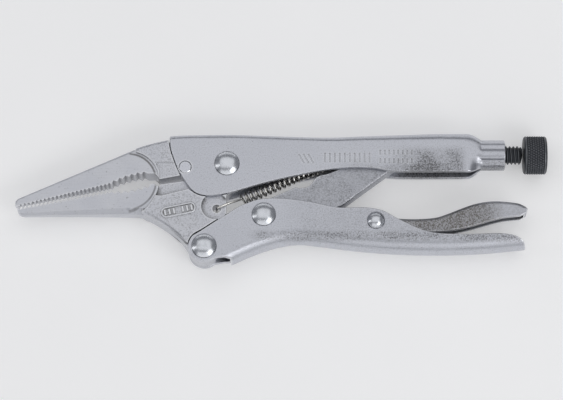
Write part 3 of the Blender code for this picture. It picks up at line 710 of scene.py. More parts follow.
def fixed_body():
    """The fixed jaw's body and tongue, from the round step to the hollow for the moving jaw's hub."""
    step = arc(NOSE_CENTRE, NOSE_RADIUS, 3.5, 75.5, 24)
    start = BODY_START - 0.3
    top = [(start, height_at(FIXED_TOP, start))] + [point for point in FIXED_TOP if point[0] > BODY_START]
    under_back = [(x, height_at(FIXED_BACK, x) - SHEET - EDGE_GAP)
                  for x in (FRONT_FACE - EDGE_GAP, -18.0, -12.0, -6.2)]
    hollow = arc((0, 0), HUB_RADIUS + HUB_GAP, 132, 209, 16)

    def rounding(point):
        return 1.5 if point in top else FORGED_ROUND

    outline = step + top + under_back + hollow + [(-19.8, -5.1)]
    return forging("jaw_fixed_body", outline, lambda x: BODY_HALF, rounding)


def fixed_jaw():
    """Nose and body in one, with a tongue that fits between the cheeks."""
    jaw = combine(fixed_nose(), fixed_body(), "UNION")
    cheek = beside(CHEEK_FRONT + CHEEK_BELOW[1:5], -EDGE_GAP)
    front = [(FRONT_FACE - EDGE_GAP, 20.0), (FRONT_FACE - EDGE_GAP, 12.0)]
    covered = [point for point in cheek if point[1] < 11.5]
    mill_both_sides(jaw, front + covered + [(20.0, 20.0)], TONGUE_HALF)
    patch = [(-29.7, 0.8), (-30.0, -0.6), (-28.5, -3.2), (-28.5, -12.0), (-10.0, -12.0), (-10.0, 0.8)]
    mill_both_sides(jaw, patch, BODY_HALF - 0.35)
    round_edges(jaw, WORN_ROUND, steps=2, sharper_than=45)
    return drill(jaw, JAW_PIN, JAW_PIN_HOLE)


seat(fixed_jaw(), "frame", "plated_forging", jaw_steel("nickel_fixed_jaw"), "fixed_jaw")


# ---- Moving jaw ---------------------------------------------------------------------------------
# The lower jaw is a forging with a hub that turns on the jaw rivet between the cheeks. A lug below
# carries the moving handle, a round spot face has the hole for the spring's front hook, and a
# raised oval badge holds plain bars. It is built and plated like the fixed jaw.

MOVING_REACH = drawn(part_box("moving_handle")[1]).x
LUG_RIVET = PIVOTS["handle_pivot"].xy
EAR_RADIUS = 6.7
LUG_RADIUS = 6.5
SPRING_HOLE = (-4.3, -19.2)
SPOT_FACE = (-5.1, -18.5)
SPOT_FACE_RADIUS = 5.7
BADGE = (-20.4, -20.3)
BADGE_LENGTH = 10.2
BADGE_RADIUS = 2.5
BADGE_TILT = math.radians(12)
BADGE_RIM = 0.8
LUG_HOLE = 3.3
SPRING_HOOK_HOLE = 1.85


def moving_x(share):
    return share * MOVING_REACH


MOVING_TOP = curve([(-14.3, -31.2), (-11.8, -29.8), (-5.5, -25.6), (0.6, -21.7), (5.3, -18.6),
                    (8.2, -17.4), (13.1, -15.7), (21.2, -15.1), (moving_x(0.27), -16.5),
                    (moving_x(0.37), -19.1), (moving_x(0.47), -19.2), (moving_x(0.52), -20.4),
                    (moving_x(0.58), -24.6), (moving_x(0.67), -29.5), (moving_x(0.78), -30.7),
                    (moving_x(0.93), -30.5), (moving_x(0.97), -31.7), (moving_x(0.99), -33.6),
                    (moving_x(1.0), -37.0)], 2.0)
MOVING_UNDER = curve([(-17.2, -35.2), (-19.8, -31.8), (-24.1, -28.1), (-28.4, -25.2), (-32.8, -22.7),
                      (-36.0, -21.7), (-41.4, -21.4), along_nose(0.66, -21.3), along_nose(0.93, -21.5)], 1.6)


def moving_nose():
    """The moving jaw's nose, with its bite above and its bevel below."""
    start, end = along_nose(0.975, -18.3), along_nose(0.318, -11.6)
    count = round((Vector(start) - Vector(end)).length / FINE_PITCH)
    bite = teeth(start, end, count, -FINE_DEPTH)
    throat = teeth(end, (-32.2, -8.8), COARSE_COUNT, -COARSE_DEPTH, -0.9)[1:]
    lip = [(-30.9, -8.5), (-30.1, -9.1), (-29.2, -9.6)]
    root = [(-27.4, -10.0), (-27.2, -14.0), (-28.6, -19.0)]
    below = [point for point in MOVING_UNDER if point[0] < -31.0]
    tip = [along_nose(0.955, -21.3), along_nose(0.974, -20.6), along_nose(0.982, -19.6),
           along_nose(0.986, -18.6)]

    def rounding(point):
        if point in below or point == tip[0]:
            return 0.56 * flank(point[0]) - 0.45
        return TOOTH_ROUND

    outline = tip + bite + throat + lip + root + below
    return forging("jaw_moving", outline, flank, rounding, 1, bevelled=True)


def moving_body():
    """The moving jaw's body: hub, rear edge, lug and the curved underside."""
    step = [(-35.8, -21.0), (-33.4, -18.7), (-31.5, -16.1)] + arc(NOSE_CENTRE, NOSE_RADIUS, -28, -8.7, 8)
    hub = arc((0, 0), HUB_RADIUS, 226, -45, 48)
    rear = [(-0.3, -14.0), (-0.3, -26.0), (-2.2, -33.0)]
    lug = arc(LUG_RIVET, LUG_RADIUS, -8, -166, 24)
    under = [point for point in MOVING_UNDER if point[0] > step[0][0] + 0.3]

    def rounding(point):
        if point in under:
            return 1.3
        return 0.9 if point in lug[14:] else FORGED_ROUND

    outline = step + [(-28.3, -8.5), (-18.5, -7.1)] + hub + rear + lug + under
    return forging("jaw_moving_body", outline, lambda x: BODY_HALF, rounding)


def oval(radius):
    """The outline of a long oval on the badge's place."""
    half = BADGE_LENGTH / 2
    flat = arc((half, 0), radius, -90, 90, 12) + arc((-half, 0), radius, 90, 270, 12)
    tilt = Matrix.Rotation(BADGE_TILT, 2)
    return [tuple(tilt @ Vector(point) + Vector(BADGE)) for point in flat]


def moving_jaw():
    """Nose and body in one, with the badge, milled where the cheeks and the ears run."""
    jaw = combine(moving_nose(), moving_body(), "UNION")
    cheek = beside(CHEEK_FRONT + CHEEK_BELOW[1:5], -EDGE_GAP)
    covered = [point for point in cheek if point[1] < -11.5]
    nose_edge = arc(NOSE_CENTRE, NOSE_RADIUS, 10, -28, 12)
    above = nose_edge + [(-27.6, -14.0), (-16.3, -11.1)] + covered
    mill_both_sides(jaw, above + [(20.0, -8.0), (20.0, 20.0), (-28.9, 20.0)], TONGUE_HALF)
    ear_reach = EAR_RADIUS + EDGE_GAP
    ear_top = beside([point for point in MOVING_TOP if LUG_RIVET[0] < point[0] < 10.0], EDGE_GAP)
    ear = arc(LUG_RIVET, ear_reach, 168, 112, 12) + ear_top
    ear += [(12.0, -50.0), (-24.0, -50.0), (-24.0, -28.0), (-20.4, -31.0)]
    mill_both_sides(jaw, ear, TONGUE_HALF)
    mill_both_sides(jaw, arc(SPOT_FACE, SPOT_FACE_RADIUS, 0, 352.5, 47), TONGUE_HALF)
    badge = forging("badge", oval(BADGE_RADIUS), lambda x: HANDLE_HALF + 0.2, lambda point: 0.3)
    combine(jaw, badge, "UNION")
    mill_both_sides(jaw, oval(BADGE_RADIUS - BADGE_RIM), BODY_HALF - 0.2)
    round_edges(jaw, WORN_ROUND, steps=2, sharper_than=45)
    tilt = Matrix.Rotation(BADGE_TILT, 2)
    places = [tilt @ Vector((1.9 * i, 0.0)) + Vector(BADGE) for i in range(-3, 4) if i]
    combine(jaw, bars(places, 2.4, BADGE_TILT, -HANDLE_HALF - 0.1, HANDLE_HALF + 0.1), "UNION")
    drill(jaw, PIVOTS["jaw_pivot"], PIVOT_HOLE)
    drill(jaw, LUG_RIVET, LUG_HOLE)
    return drill(jaw, SPRING_HOLE, SPRING_HOOK_HOLE)


seat(moving_jaw(), "moving_jaw", "plated_forging", jaw_steel("nickel_moving_jaw"), "moving_jaw")


# ---- Moving handle ------------------------------------------------------------------------------
# The handle that is squeezed is a pressed channel, open upwards, with a round back. Two flat ears
# grip the moving jaw's lug, and the plated sheet is pitted where it was bent. It is skinned, cut
# and drilled like the fixed handle.

MOVING_BACK = curve([(-18.0, -51.0), (2.5, -42.5), (10.4, -38.9), (21.2, -35.2), (30.0, -33.8),
                     (moving_x(0.30), -34.5), (moving_x(0.41), -36.3), (moving_x(0.52), -37.6),
                     (moving_x(0.64), -38.3), (moving_x(0.75), -38.3), (moving_x(0.86), -37.7),
                     (moving_x(1.02), -35.7)], 3.0)
SPINE_FRONT = 1.8
LIP_ROUND = 0.35
LEVER_HOLE = 2.5


def moving_handle_pits(finish):
    """A pitted band along the start of the bend, and scattered pits on the cheek."""
    x, y = finish.axis("X"), finish.axis("Y")
    line = -31.5 - (x - 15.0) * 0.01
    band = (y - line).within(-2.4, -0.4) * (1.0 - (y - line).within(0.4, 3.4))
    cheek = x.within(18.0, 40.0) * (y - line).within(-1.0, 1.5) * 0.38
    return (band * x.within(6.0, 16.0) + cheek) * (0.5 + finish.noise(7.0).within(0.3, 0.6) * 0.5)


def moving_handle():
    """The pressed channel, whose flat ears start where its spine is cut away."""
    rings = []
    for x, back in MOVING_BACK:
        opening = min(max((x + 8.0) / 10.0, 0.0), 1.0)
        bend = 2.6 + (HANDLE_HALF - 2.8) * opening
        rings.append(ring_at(x, channel_paths(back, -8.0, HANDLE_HALF, bend, SHEET, -1)))
    handle = skin("handle_moving", rings)
    ear = arc(LUG_RIVET, EAR_RADIUS, -50, -225, 30)
    below = [(-1.0, -40.4), (SPINE_FRONT, -40.7), (SPINE_FRONT, -70.0), (140.0, -70.0),
             (140.0, -39.0), (MOVING_REACH, -39.0)]
    outline = ear + MOVING_TOP[1:] + below[::-1]
    combine(handle, slab("outline", outline, -CLEAR, CLEAR), "INTERSECT")
    round_edges(handle, LIP_ROUND)
    drill(handle, LUG_RIVET, LUG_HOLE)
    drill(handle, PIVOTS["link_pivot"], LUG_HOLE)
    return drill(handle, PIVOTS["release_pivot"], LEVER_HOLE)


seat(moving_handle(), "moving_handle", "plated_sheet",
     nickel_plate("nickel_moving_handle", moving_handle_pits, gloss=0.36, dull=0.12), "moving_handle")


# ---- Toggle link --------------------------------------------------------------------------------
# The link is a narrow channel that stands between both handles. It turns on the link rivet, and
# its toe pushes on the adjusting screw. It is drawn as a solid and hollowed from above, and its
# nickel is duller and more pitted than the handles'.

LINK_RIVET = PIVOTS["link_pivot"].xy
TOE = Vector((74.0, SCREW_AXIS_Y))
TOE_RADIUS = 4.2
LINK_HUB = 6.5
LINK_WALL = 1.6
LINK_WEB = 2.0


def link_place(u, v):
    """A point along and across the line from the link's rivet to its toe."""
    along = (TOE - LINK_RIVET).normalized()
    return tuple(LINK_RIVET + along * u + Vector((-along.y, along.x)) * v)


def toggle_link():
    """The link's hub, web and toe, hollowed between two walls."""
    reach = (TOE - LINK_RIVET).length
    hub = arc((0, 0), LINK_HUB, -75, -295, 28)
    top = curve([(17.6, 5.6), (18.8, 4.6), (23.1, 3.6), (27.5, 5.8), (33.2, 5.0), (reach - 6, 4.6)], 1.5)
    toe = arc((reach, 0), TOE_RADIUS, 80, -96, 20)
    below = curve([(reach - 9, -5.4), (38.0, -8.9), (31.5, -10.2), (26.0, -10.2), (8.0, -7.4)], 3)
    outline = [link_place(u, v) for u, v in hub + top + toe + below]
    back = set(outline[-len(below):-1])

    def rounding(point):
        return 0.9 if point in back else 0.25

    link = forging("link", outline, lambda x: TONGUE_HALF, rounding)
    floor = [(reach - 8, -5.5 + LINK_WEB), (38.0, -8.9 + LINK_WEB), (26.0, -10.2 + LINK_WEB),
             (9.0, -7.4 + LINK_WEB), (6.0, -15.0), (-10.0, -15.0), (-10.0, 15.0), (reach - 8, 15.0)]
    inside = [link_place(u, v) for u, v in floor]
    combine(link, slab("hollow", inside, LINK_WALL - TONGUE_HALF, TONGUE_HALF - LINK_WALL), "DIFFERENCE")
    return drill(link, LINK_RIVET, LUG_HOLE)


def link_pits(finish):
    """Light pitting all over."""
    return 0.35 + finish.noise(6.0).within(0.3, 0.7) * 0.25


seat(toggle_link(), "toggle_link", "plated_link",
     nickel_plate("nickel_link", link_pits, light=0.6, gloss=0.42, relief=0.04, dull=0.2), "toggle_link")


# ---- Release lever ------------------------------------------------------------------------------
# The lever is a narrow channel, open downwards, that rocks on a small rivet inside the moving
# handle. It is drawn as a solid and hollowed from below. Its nickel is dull brown-grey and rough on
# the sides of the thumb tail, and bright on its rounded top edge.

LEVER_RIVET = PIVOTS["release_pivot"].xy
LEVER_REACH = drawn(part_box("release_lever")[1]).x
LEVER_INSET = 0.2
LEVER_HALF = TONGUE_HALF - LEVER_INSET
LEVER_WALL = 1.5
LEVER_WEB = 1.6


def lever_x(share):
    """A place on the lever's tail, from its rivet at 0 to its end at 1."""
    return LEVER_RIVET.x + share * (LEVER_REACH - LEVER_RIVET.x)


def release_lever():
    """The lever's nose, arch and thumb tail, hollowed between two walls."""
    nose = LEVER_RIVET.x - 12.6
    top = curve([(nose, -24.2), (nose + 1.2, -22.9), (57.0, -21.6), (LEVER_RIVET.x, -21.0),
                 (lever_x(0.16), -23.0), (lever_x(0.39), -22.6), (lever_x(0.47), -21.0),
                 (lever_x(0.56), -18.7), (lever_x(0.66), -16.5), (lever_x(0.77), -15.4),
                 (lever_x(0.885), -15.8), (lever_x(0.95), -16.5), (lever_x(0.99), -17.8)], 1.5)
    tail = [(lever_x(1.0), -19.1), (lever_x(0.994), -20.8)]
    below = curve([(lever_x(0.95), -22.2), (lever_x(0.83), -23.1), (lever_x(0.72), -25.0),
                   (lever_x(0.60), -27.2), (lever_x(0.47), -28.8), (lever_x(0.15), -29.4),
                   (LEVER_RIVET.x, -29.6), (nose + 4, -28.0), (nose, -25.6)], 3)
    bent = set(top[2:])

    def rounding(point):
        return 1.9 if point in bent else 0.3

    lever = forging("lever", top + tail + below, lambda x: LEVER_HALF, rounding)
    roof = [(x, y - LEVER_WEB) for x, y in top if nose + 4 < x < lever_x(0.97)]
    inside = roof + [(lever_x(0.975), -20.0), (lever_x(0.96), -40.0), (nose + 4, -40.0)]
    combine(lever, slab("hollow", inside, LEVER_WALL - LEVER_HALF, LEVER_HALF - LEVER_WALL), "DIFFERENCE")
    return drill(lever, LEVER_RIVET, LEVER_HOLE)


def lever_scale(finish):
    """Brown-grey scale on the side of the thumb tail, which ends before its polished tip."""
    x = finish.axis("X")
    from_middle = finish.axis("Z") * finish.axis("Z")
    side = from_middle.within((LEVER_HALF - 0.7) ** 2, (LEVER_HALF - 0.1) ** 2)
    return x.within(62.0, 84.0) * (1.0 - x.within(108.0, 119.0)) * side * 0.85 + 0.15


seat(release_lever(), "release_lever", "plated_lever",
     nickel_plate("nickel_lever", lever_scale, light=0.62, gloss=0.36, relief=0.04, dull=0.42,
                  dark_and_painted_shade=(0.19, 0.178, 0.165)), "release_lever")


# ---- Rivets and jaw pin -------------------------------------------------------------------------
# Four steel rivets with domed heads on both sides are the pivots, and a flush pin holds the fixed
# jaw. All are turned from profiles. The heads have a groove round their edge and are polished, and
# the pin is ground off with the cheek and plated.

HEAD_GAP = 0.3
HEAD_RIM = 0.15
HEAD_GROOVE = 0.36
HEAD_SEAT = 0.04
PIN_PROUD = 0.02
DOME_HEIGHT = 1.85
DOME_STEPS = 14
RIVETS = (("pivot_rivet", "frame", 3.2, 5.4), ("lug_rivet", "moving_handle", 3.0, 5.4),
          ("link_rivet", "moving_handle", 3.0, 5.2), ("lever_rivet", "moving_handle", 2.2, 3.85))


def polished_rivet():
    """Polished nickel with smears and nicks, with painted shade in the groove round the head."""
    finish = Finish("polished_rivet")
    smear = finish.noise(2.6, 3.0)
    nicks = finish.noise(0.5, 2.0).within(0.66, 0.74)
    # Painted shade in the groove round the head and the piece's other hollows.
    dark_and_painted_shade = finish.painted_crease_shade(1.2)
    dark = nicks * 0.4 + smear.within(0.5, 0.8) * 0.25 + dark_and_painted_shade
    colour = finish.blend(dark, (0.76, 0.78, 0.82, 1), (0.13, 0.13, 0.14, 1))
    return finish.wear(colour, 0.2 + smear * 0.14 + nicks * 0.2, smear * 0.9 - nicks * 0.4, 0.02)


def rivet(node, shank, head):
    """A shank with a domed head on each side, whose lip lies close to the sheet."""
    at = drawn(middle_of(node))
    base = HANDLE_HALF + HEAD_SEAT
    round_head = head - HEAD_GROOVE
    dome = [(shank, 0.0), (shank, base), (head - 0.1, base), (head, base + 0.1),
            (head - 0.1, base + 0.2), (head - 0.3, base + 0.12), (round_head, base + 0.12)]
    ball = (round_head ** 2 + DOME_HEIGHT ** 2) / (2 * DOME_HEIGHT)
    brim = HANDLE_HALF + HEAD_GAP + HEAD_RIM
    for i in range(DOME_STEPS):
        radius = round_head * math.cos(math.pi / 2 * i / (DOME_STEPS - 0.5))
        dome.append((radius, brim + DOME_HEIGHT - ball + math.sqrt(ball ** 2 - radius ** 2)))
    under = [(radius, -z) for radius, z in reversed(dome[1:])]
    return turned("head_" + node, under + dome[1:], (at.x, at.y, 0))


rivet_polish = polished_rivet()
for node, body, shank, head in RIVETS:
    seat(rivet(node, shank, head), body, "polished_rivet", rivet_polish, node)


def jaw_pin():
    """A straight pin with worn ends, all but flush with both cheeks."""
    face = HANDLE_HALF + PIN_PROUD
    profile = [(2.3, -face), (2.58, -face + 0.18), (2.62, -face + 0.5), (2.62, face - 0.5),
               (2.58, face - 0.18), (2.3, face)]
    return turned("pin_jaw", profile, (JAW_PIN.x, JAW_PIN.y, 0))


seat(jaw_pin(), "frame", "plated_forging",
     nickel_plate("ground_pin", light=0.72, gloss=0.3, relief=0.015), "jaw_pin")


# ---- Tension spring -----------------------------------------------------------------------------
# A coil of hard drawn wire pulls the jaws open. Its front hook goes through the moving jaw's hole,
# and its rear hook through the tab under the fixed handle's back. Geometry Nodes sweep the wire
# along its route.

SPRING_RADIUS = 2.3
WIRE_RADIUS = 0.5
WIRE_SIDES = 12
SPRING_PITCH = 2.2
SPRING_TURNS = 19
SPRING_START = 11.4
TURN_STEPS = 20


def spring_route():
    """The wire's middle line: front hook, coil and rear hook, as points in space."""
    back = height_at(FIXED_BACK, TAB_X)
    front = Vector((*SPRING_HOLE, 0))
    rear = Vector((TAB_X, back - TAB_HOLE_DROP, 0))
    along = (rear - front).normalized()
    across = Vector((-along.y, along.x, 0))
    through = Vector((0, 0, 1))
    over = TONGUE_HALF + WIRE_RADIUS + 0.3
    route = [front - through * (TONGUE_HALF - 1.0), front + through * (TONGUE_HALF - 0.8),
             front + through * (over - 0.2) + along * 0.35, front + through * over + along * 0.9,
             front + through * over + along * 3.2, front + through * (over - 0.2) + along * 5.5,
             front + through * 3.4 + along * 8.4]
    for i in range(SPRING_TURNS * TURN_STEPS + 1):
        angle = math.pi / 2 - 2 * math.pi * i / TURN_STEPS
        reach = SPRING_START + SPRING_PITCH * i / TURN_STEPS
        swing = across * math.cos(angle) + through * math.sin(angle)
        route.append(front + along * reach + swing * SPRING_RADIUS)
    end = SPRING_START + SPRING_PITCH * SPRING_TURNS
    route.append(front + along * (end + 2.2))
    route += [rear, rear + Vector((TAB_THICK + 0.9, 0, 0)), rear + Vector((TAB_THICK + 1.6, -2.6, 0))]
    return route


def node_tree(name, sizes):
    """A Geometry Nodes tree with a geometry input and one named number input for each size."""
    tree = bpy.data.node_groups.new(name, "GeometryNodeTree")
    tree.interface.new_socket("Geometry", in_out="INPUT", socket_type="NodeSocketGeometry")
    for size, kind in sizes.items():
        tree.interface.new_socket(size, in_out="INPUT", socket_type=kind)
    tree.interface.new_socket("Geometry", in_out="OUTPUT", socket_type="NodeSocketGeometry")
    return tree


def add(tree, kind, settings=None, inputs=None):
    """Adds a node to a Geometry Nodes tree: its settings, then its numbers or links."""
    made = tree.nodes.new(kind)
    for setting, value in (settings or {}).items():
        setattr(made, setting, value)
    for socket, value in (inputs or {}).items():
        if isinstance(value, bpy.types.NodeSocket):
            tree.links.new(value, made.inputs[socket])
        else:
            made.inputs[socket].default_value = value
    return made


def finish_tree(tree, geometry, material):
    """Ends a tree: instances become real, and the material is set."""
    real = add(tree, "GeometryNodeRealizeInstances", {}, {"Geometry": geometry})
    painted = add(tree, "GeometryNodeSetMaterial", {},
                  {"Geometry": real.outputs[0], "Material": material})
    add(tree, "NodeGroupOutput", {}, {"Geometry": painted.outputs[0]})


def grow(piece, tree, sizes):
    """Runs a tree on a piece with the given sizes, and keeps the result as its mesh."""
    modifier = piece.modifiers.new(tree.name, "NODES")
    modifier.node_group = tree
    for item in tree.interface.items_tree:
        if item.in_out == "INPUT" and item.name in sizes:
            modifier[item.identifier] = sizes[item.name]
    return as_mesh(piece)


def spring_steel():
    """Bright drawn wire, with painted shade between its turns."""
    finish = Finish("spring_steel")
    drawn_wire = finish.noise(0.9, 2.0)
    # Painted shade between the turns, with the drawn wire's own streaks.
    shade = drawn_wire.within(0.35, 0.7) * 0.3 + finish.painted_crease_shade(3.0)
    colour = finish.blend(shade, (0.92, 0.9, 0.86, 1), (0.1, 0.095, 0.085, 1))
    return finish.wear(colour, 0.2 + drawn_wire * 0.16, drawn_wire, 0.01)


def wire_tree(material):
    """Sweeps a round wire along the edges that it is given."""
    tree = node_tree("wire", {"Wire Radius": "NodeSocketFloat", "Sides": "NodeSocketInt"})
    given = add(tree, "NodeGroupInput")
    path = add(tree, "GeometryNodeMeshToCurve", {}, {"Mesh": given.outputs["Geometry"]})
    circle = add(tree, "GeometryNodeCurvePrimitiveCircle", {},
                 {"Radius": given.outputs["Wire Radius"], "Resolution": given.outputs["Sides"]})
    wire = add(tree, "GeometryNodeCurveToMesh", {},
               {"Curve": path.outputs[0], "Profile Curve": circle.outputs[0], "Fill Caps": True})
    finish_tree(tree, wire.outputs[0], material)
    return tree


def spring():
    """The wire, swept along its route."""
    line = bpy.data.meshes.new("spring_line")
    route = spring_route()
    line.from_pydata(route, [(i, i + 1) for i in range(len(route) - 1)], [])
    sizes = {"Wire Radius": WIRE_RADIUS, "Sides": WIRE_SIDES}
    return grow(new_object("spring", line), wire_tree(wire_steel), sizes)


wire_steel = spring_steel()
coil = spring()
coil.data.shade_smooth()
coil.data.transform(INTO_FRAME)
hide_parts("tension_spring")
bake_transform(coil)


# ---- Adjusting screw ----------------------------------------------------------------------------
# The screw turns in the neck and sets how wide the jaws lock. It is one steel bar with a rolled
# thread, a smooth inner end and a knurled knob, all in black oxide. The thread is wound row by row,
# and Geometry Nodes set the knurl's points on the turned knob.

SCREW_RADIUS = 4.0
THREAD_PITCH = 1.6
THREAD_DEPTH = 0.75
SCREW_LOW, SCREW_HIGH = (drawn(corner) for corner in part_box("adjusting_screw"))
KNOB_LOW, KNOB_HIGH = (drawn(corner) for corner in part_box("screw_knob"))
NOSE_LOW, NOSE_HIGH = (drawn(corner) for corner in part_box("screw_nose"))
KNOB_RADIUS = (KNOB_HIGH.y - KNOB_LOW.y) / 2
KNOB_CHAMFER = 1.1
KNURL_ROWS = 7
KNURL_COLUMNS = 44
KNURL_DEPTH = 0.42
KNURL_TIP = 0.12
THREAD_STEPS = 40
KNOB_STEPS = 88


def black_oxide():
    """Oiled black oxide, rubbed bare on the knurl's points and a little on the thread's crests."""
    finish = Finish("black_oxide", metallic=0.75)
    from_axis = finish.node("ShaderNodeVectorMath", {"operation": "MULTIPLY_ADD"},
                            {0: finish.place, 1: (0, 1, 1),
                             2: (0, -RIVET_PLACE.y - SCREW_AXIS_Y * MM, -RIVET_PLACE.z)})
    radius = finish.node("ShaderNodeVectorMath", {"operation": "LENGTH"}, {0: from_axis},
                         output="Value")
    rubbed = radius.within((KNOB_RADIUS - 0.22) * MM, KNOB_RADIUS * MM) * 0.6
    crest = radius.within((SCREW_RADIUS - 0.2) * MM, SCREW_RADIUS * MM)
    on_screw = 1.0 - radius.within((SCREW_RADIUS + 0.1) * MM, (SCREW_RADIUS + 0.3) * MM)
    oil = finish.noise(1.1, 3.0)
    share = rubbed * (0.4 + oil * 0.8) + crest * on_screw * 0.35
    colour = finish.blend(share, (0.055, 0.059, 0.067, 1), (0.34, 0.35, 0.37, 1))
    return finish.wear(colour, 0.34 + oil * 0.22, oil + finish.noise(0.35) * 0.4, 0.02)


def threaded_bar():
    """A rolled thread: rows at root, flank and crest, wound along one helix."""
    steps = THREAD_STEPS
    rows_per_turn = ((0.0, 1.0), (0.16, 1.0), (0.44, 0.0), (0.6, 0.0), (0.88, 1.0))
    turns = round((SCREW_HIGH.x - SCREW_LOW.x) / THREAD_PITCH) - 1
    solid = bmesh.new()
    rows = []
    for i in range(len(rows_per_turn) * turns + 1):
        turn, part = divmod(i, len(rows_per_turn))
        share, cut = rows_per_turn[part]
        row = []
        for j in range(steps):
            angle = 2 * math.pi * j / steps
            x = SCREW_LOW.x + THREAD_PITCH * (turn + share + j / steps)
            radius = SCREW_RADIUS - THREAD_DEPTH * cut
            y = SCREW_AXIS_Y + radius * math.cos(angle)
            row.append(solid.verts.new((x, y, radius * math.sin(angle))))
        rows.append(row)
    jump = len(rows_per_turn)
    last = len(rows) - 1

    def at(i, j):
        return rows[i][j] if j < steps else rows[i + jump][j - steps]

    for i in range(last):
        for j in range(steps):
            if j == steps - 1 and i + 1 + jump > last:
                continue
            solid.faces.new((at(i, j), at(i, j + 1), at(i + 1, j + 1), at(i + 1, j)))
    start = [rows[0][j] for j in range(steps)] + [rows[k][0] for k in range(jump, 0, -1)]
    end = [rows[last][j] for j in range(steps - 1, -1, -1)]
    end += [rows[last - k][steps - 1] for k in range(jump, 0, -1)]
    for x, loop in ((SCREW_LOW.x, start), (SCREW_HIGH.x, end)):
        centre = solid.verts.new((x, SCREW_AXIS_Y, 0.0))
        for k, vertex in enumerate(loop):
            solid.faces.new((vertex, loop[(k + 1) % len(loop)], centre))
    return new_piece("screw_thread", solid)


def knurl_tree(material):
    """Wraps staggered rows of small four-sided points round the knob."""
    sizes = {"Rows": "NodeSocketInt", "Columns": "NodeSocketInt"}
    sizes.update({size: "NodeSocketFloat" for size in ("Radius", "Length", "Start", "Height", "Axis Y")})
    tree = node_tree("knurl", sizes)
    given = add(tree, "NodeGroupInput").outputs

    def maths(operation, first, second=0.0):
        return add(tree, "ShaderNodeMath", {"operation": operation}, {0: first, 1: second}).outputs[0]

    count = maths("MULTIPLY", given["Rows"], given["Columns"])
    points = add(tree, "GeometryNodePoints", {}, {"Count": count}).outputs[0]
    index = add(tree, "GeometryNodeInputIndex").outputs[0]
    row = maths("FLOOR", maths("DIVIDE", index, given["Columns"]))
    column = maths("SUBTRACT", index, maths("MULTIPLY", row, given["Columns"]))
    offset = maths("MULTIPLY", maths("MODULO", row, 2.0), 0.5)
    turn = maths("DIVIDE", maths("ADD", column, offset), given["Columns"])
    angle = maths("MULTIPLY", turn, 2 * math.pi)
    spacing = maths("DIVIDE", given["Length"], maths("SUBTRACT", given["Rows"], 1.0))
    x = maths("ADD", given["Start"], maths("MULTIPLY", spacing, row))
    base = maths("SUBTRACT", given["Radius"], given["Height"])
    out = add(tree, "ShaderNodeCombineXYZ", {},
              {"X": 0.0, "Y": maths("COSINE", angle), "Z": maths("SINE", angle)})
    ring = add(tree, "ShaderNodeVectorMath", {"operation": "SCALE"},
               {0: out.outputs[0], "Scale": base})
    centre = add(tree, "ShaderNodeCombineXYZ", {}, {"X": x, "Y": given["Axis Y"], "Z": 0.0})
    place = add(tree, "ShaderNodeVectorMath", {"operation": "ADD"},
                {0: ring.outputs[0], 1: centre.outputs[0]})
    set_out = add(tree, "GeometryNodeSetPosition", {},
                  {"Geometry": points, "Position": place.outputs[0]})
    point = add(tree, "GeometryNodeMeshCone", {"fill_type": "NONE"},
                {"Vertices": 4, "Radius Top": KNURL_TIP, "Radius Bottom": spacing,
                 "Depth": given["Height"]})
    turned_up = add(tree, "FunctionNodeAlignRotationToVector", {"axis": "Z"},
                    {"Vector": out.outputs[0]})
    placed = add(tree, "GeometryNodeInstanceOnPoints", {},
                 {"Points": set_out.outputs[0], "Instance": point.outputs[0],
                  "Rotation": turned_up.outputs[0]})
    both = add(tree, "GeometryNodeJoinGeometry")
    tree.links.new(given["Geometry"], both.inputs[0])
    tree.links.new(placed.outputs[0], both.inputs[0])
    finish_tree(tree, both.outputs[0], material)
    return tree


def knob():
    """The knob's turned body, with rounded rims, under its knurl."""
    core = KNOB_RADIUS - KNURL_DEPTH
    rim = [(KNOB_RADIUS - KNOB_CHAMFER * (1 - math.sin(t)), KNOB_CHAMFER * (1 - math.cos(t)))
           for t in (0.0, 0.4, 0.8, 1.2, math.pi / 2)]
    start = [(SCREW_RADIUS, KNOB_LOW.x)] + [(r, KNOB_LOW.x + along) for r, along in rim]
    end = [(r, KNOB_HIGH.x - along) for r, along in reversed(rim)]
    end += [(SCREW_RADIUS, KNOB_HIGH.x), (3.2, KNOB_HIGH.x - 0.35)]
    band = [(core, KNOB_LOW.x + KNOB_CHAMFER + 0.3), (core, KNOB_HIGH.x - KNOB_CHAMFER - 0.3)]
    return turned("screw_knob_knurled", start + band + end, (0, SCREW_AXIS_Y, 0), "X", KNOB_STEPS)


oxide = black_oxide()
seat(threaded_bar(), "screw_turn", "black_screw", oxide, "adjusting_screw")
knob_body = knob()
knurl_length = KNOB_HIGH.x - KNOB_LOW.x - 2 * KNOB_CHAMFER - 1.6
grow(knob_body, knurl_tree(oxide),
     {"Rows": KNURL_ROWS, "Columns": KNURL_COLUMNS, "Radius": KNOB_RADIUS, "Length": knurl_length,
      "Start": KNOB_LOW.x + KNOB_CHAMFER + 0.8, "Height": KNURL_DEPTH, "Axis Y": SCREW_AXIS_Y})
seat(knob_body, "screw_turn", "black_screw", oxide, "screw_knob")
nose_profile = [(2.1, NOSE_LOW.x), (2.6, NOSE_LOW.x + 0.2), (2.9, NOSE_LOW.x + 0.8), (2.9, NOSE_HIGH.x)]
screw_end = turned("screw_end", nose_profile, (0, SCREW_AXIS_Y, 0), "X")
seat(screw_end, "screw_feed", "black_screw", oxide, "screw_nose")


# ---- Table, light and camera --------------------------------------------------------------------
# The tool lies on a plain pale table, which glows a little for the camera and in mirrored rays.
# Five soft lamps light it: overhead, on the near and far sides, a spot and a strip on the left. It
# is seen from above and a little from the near side.

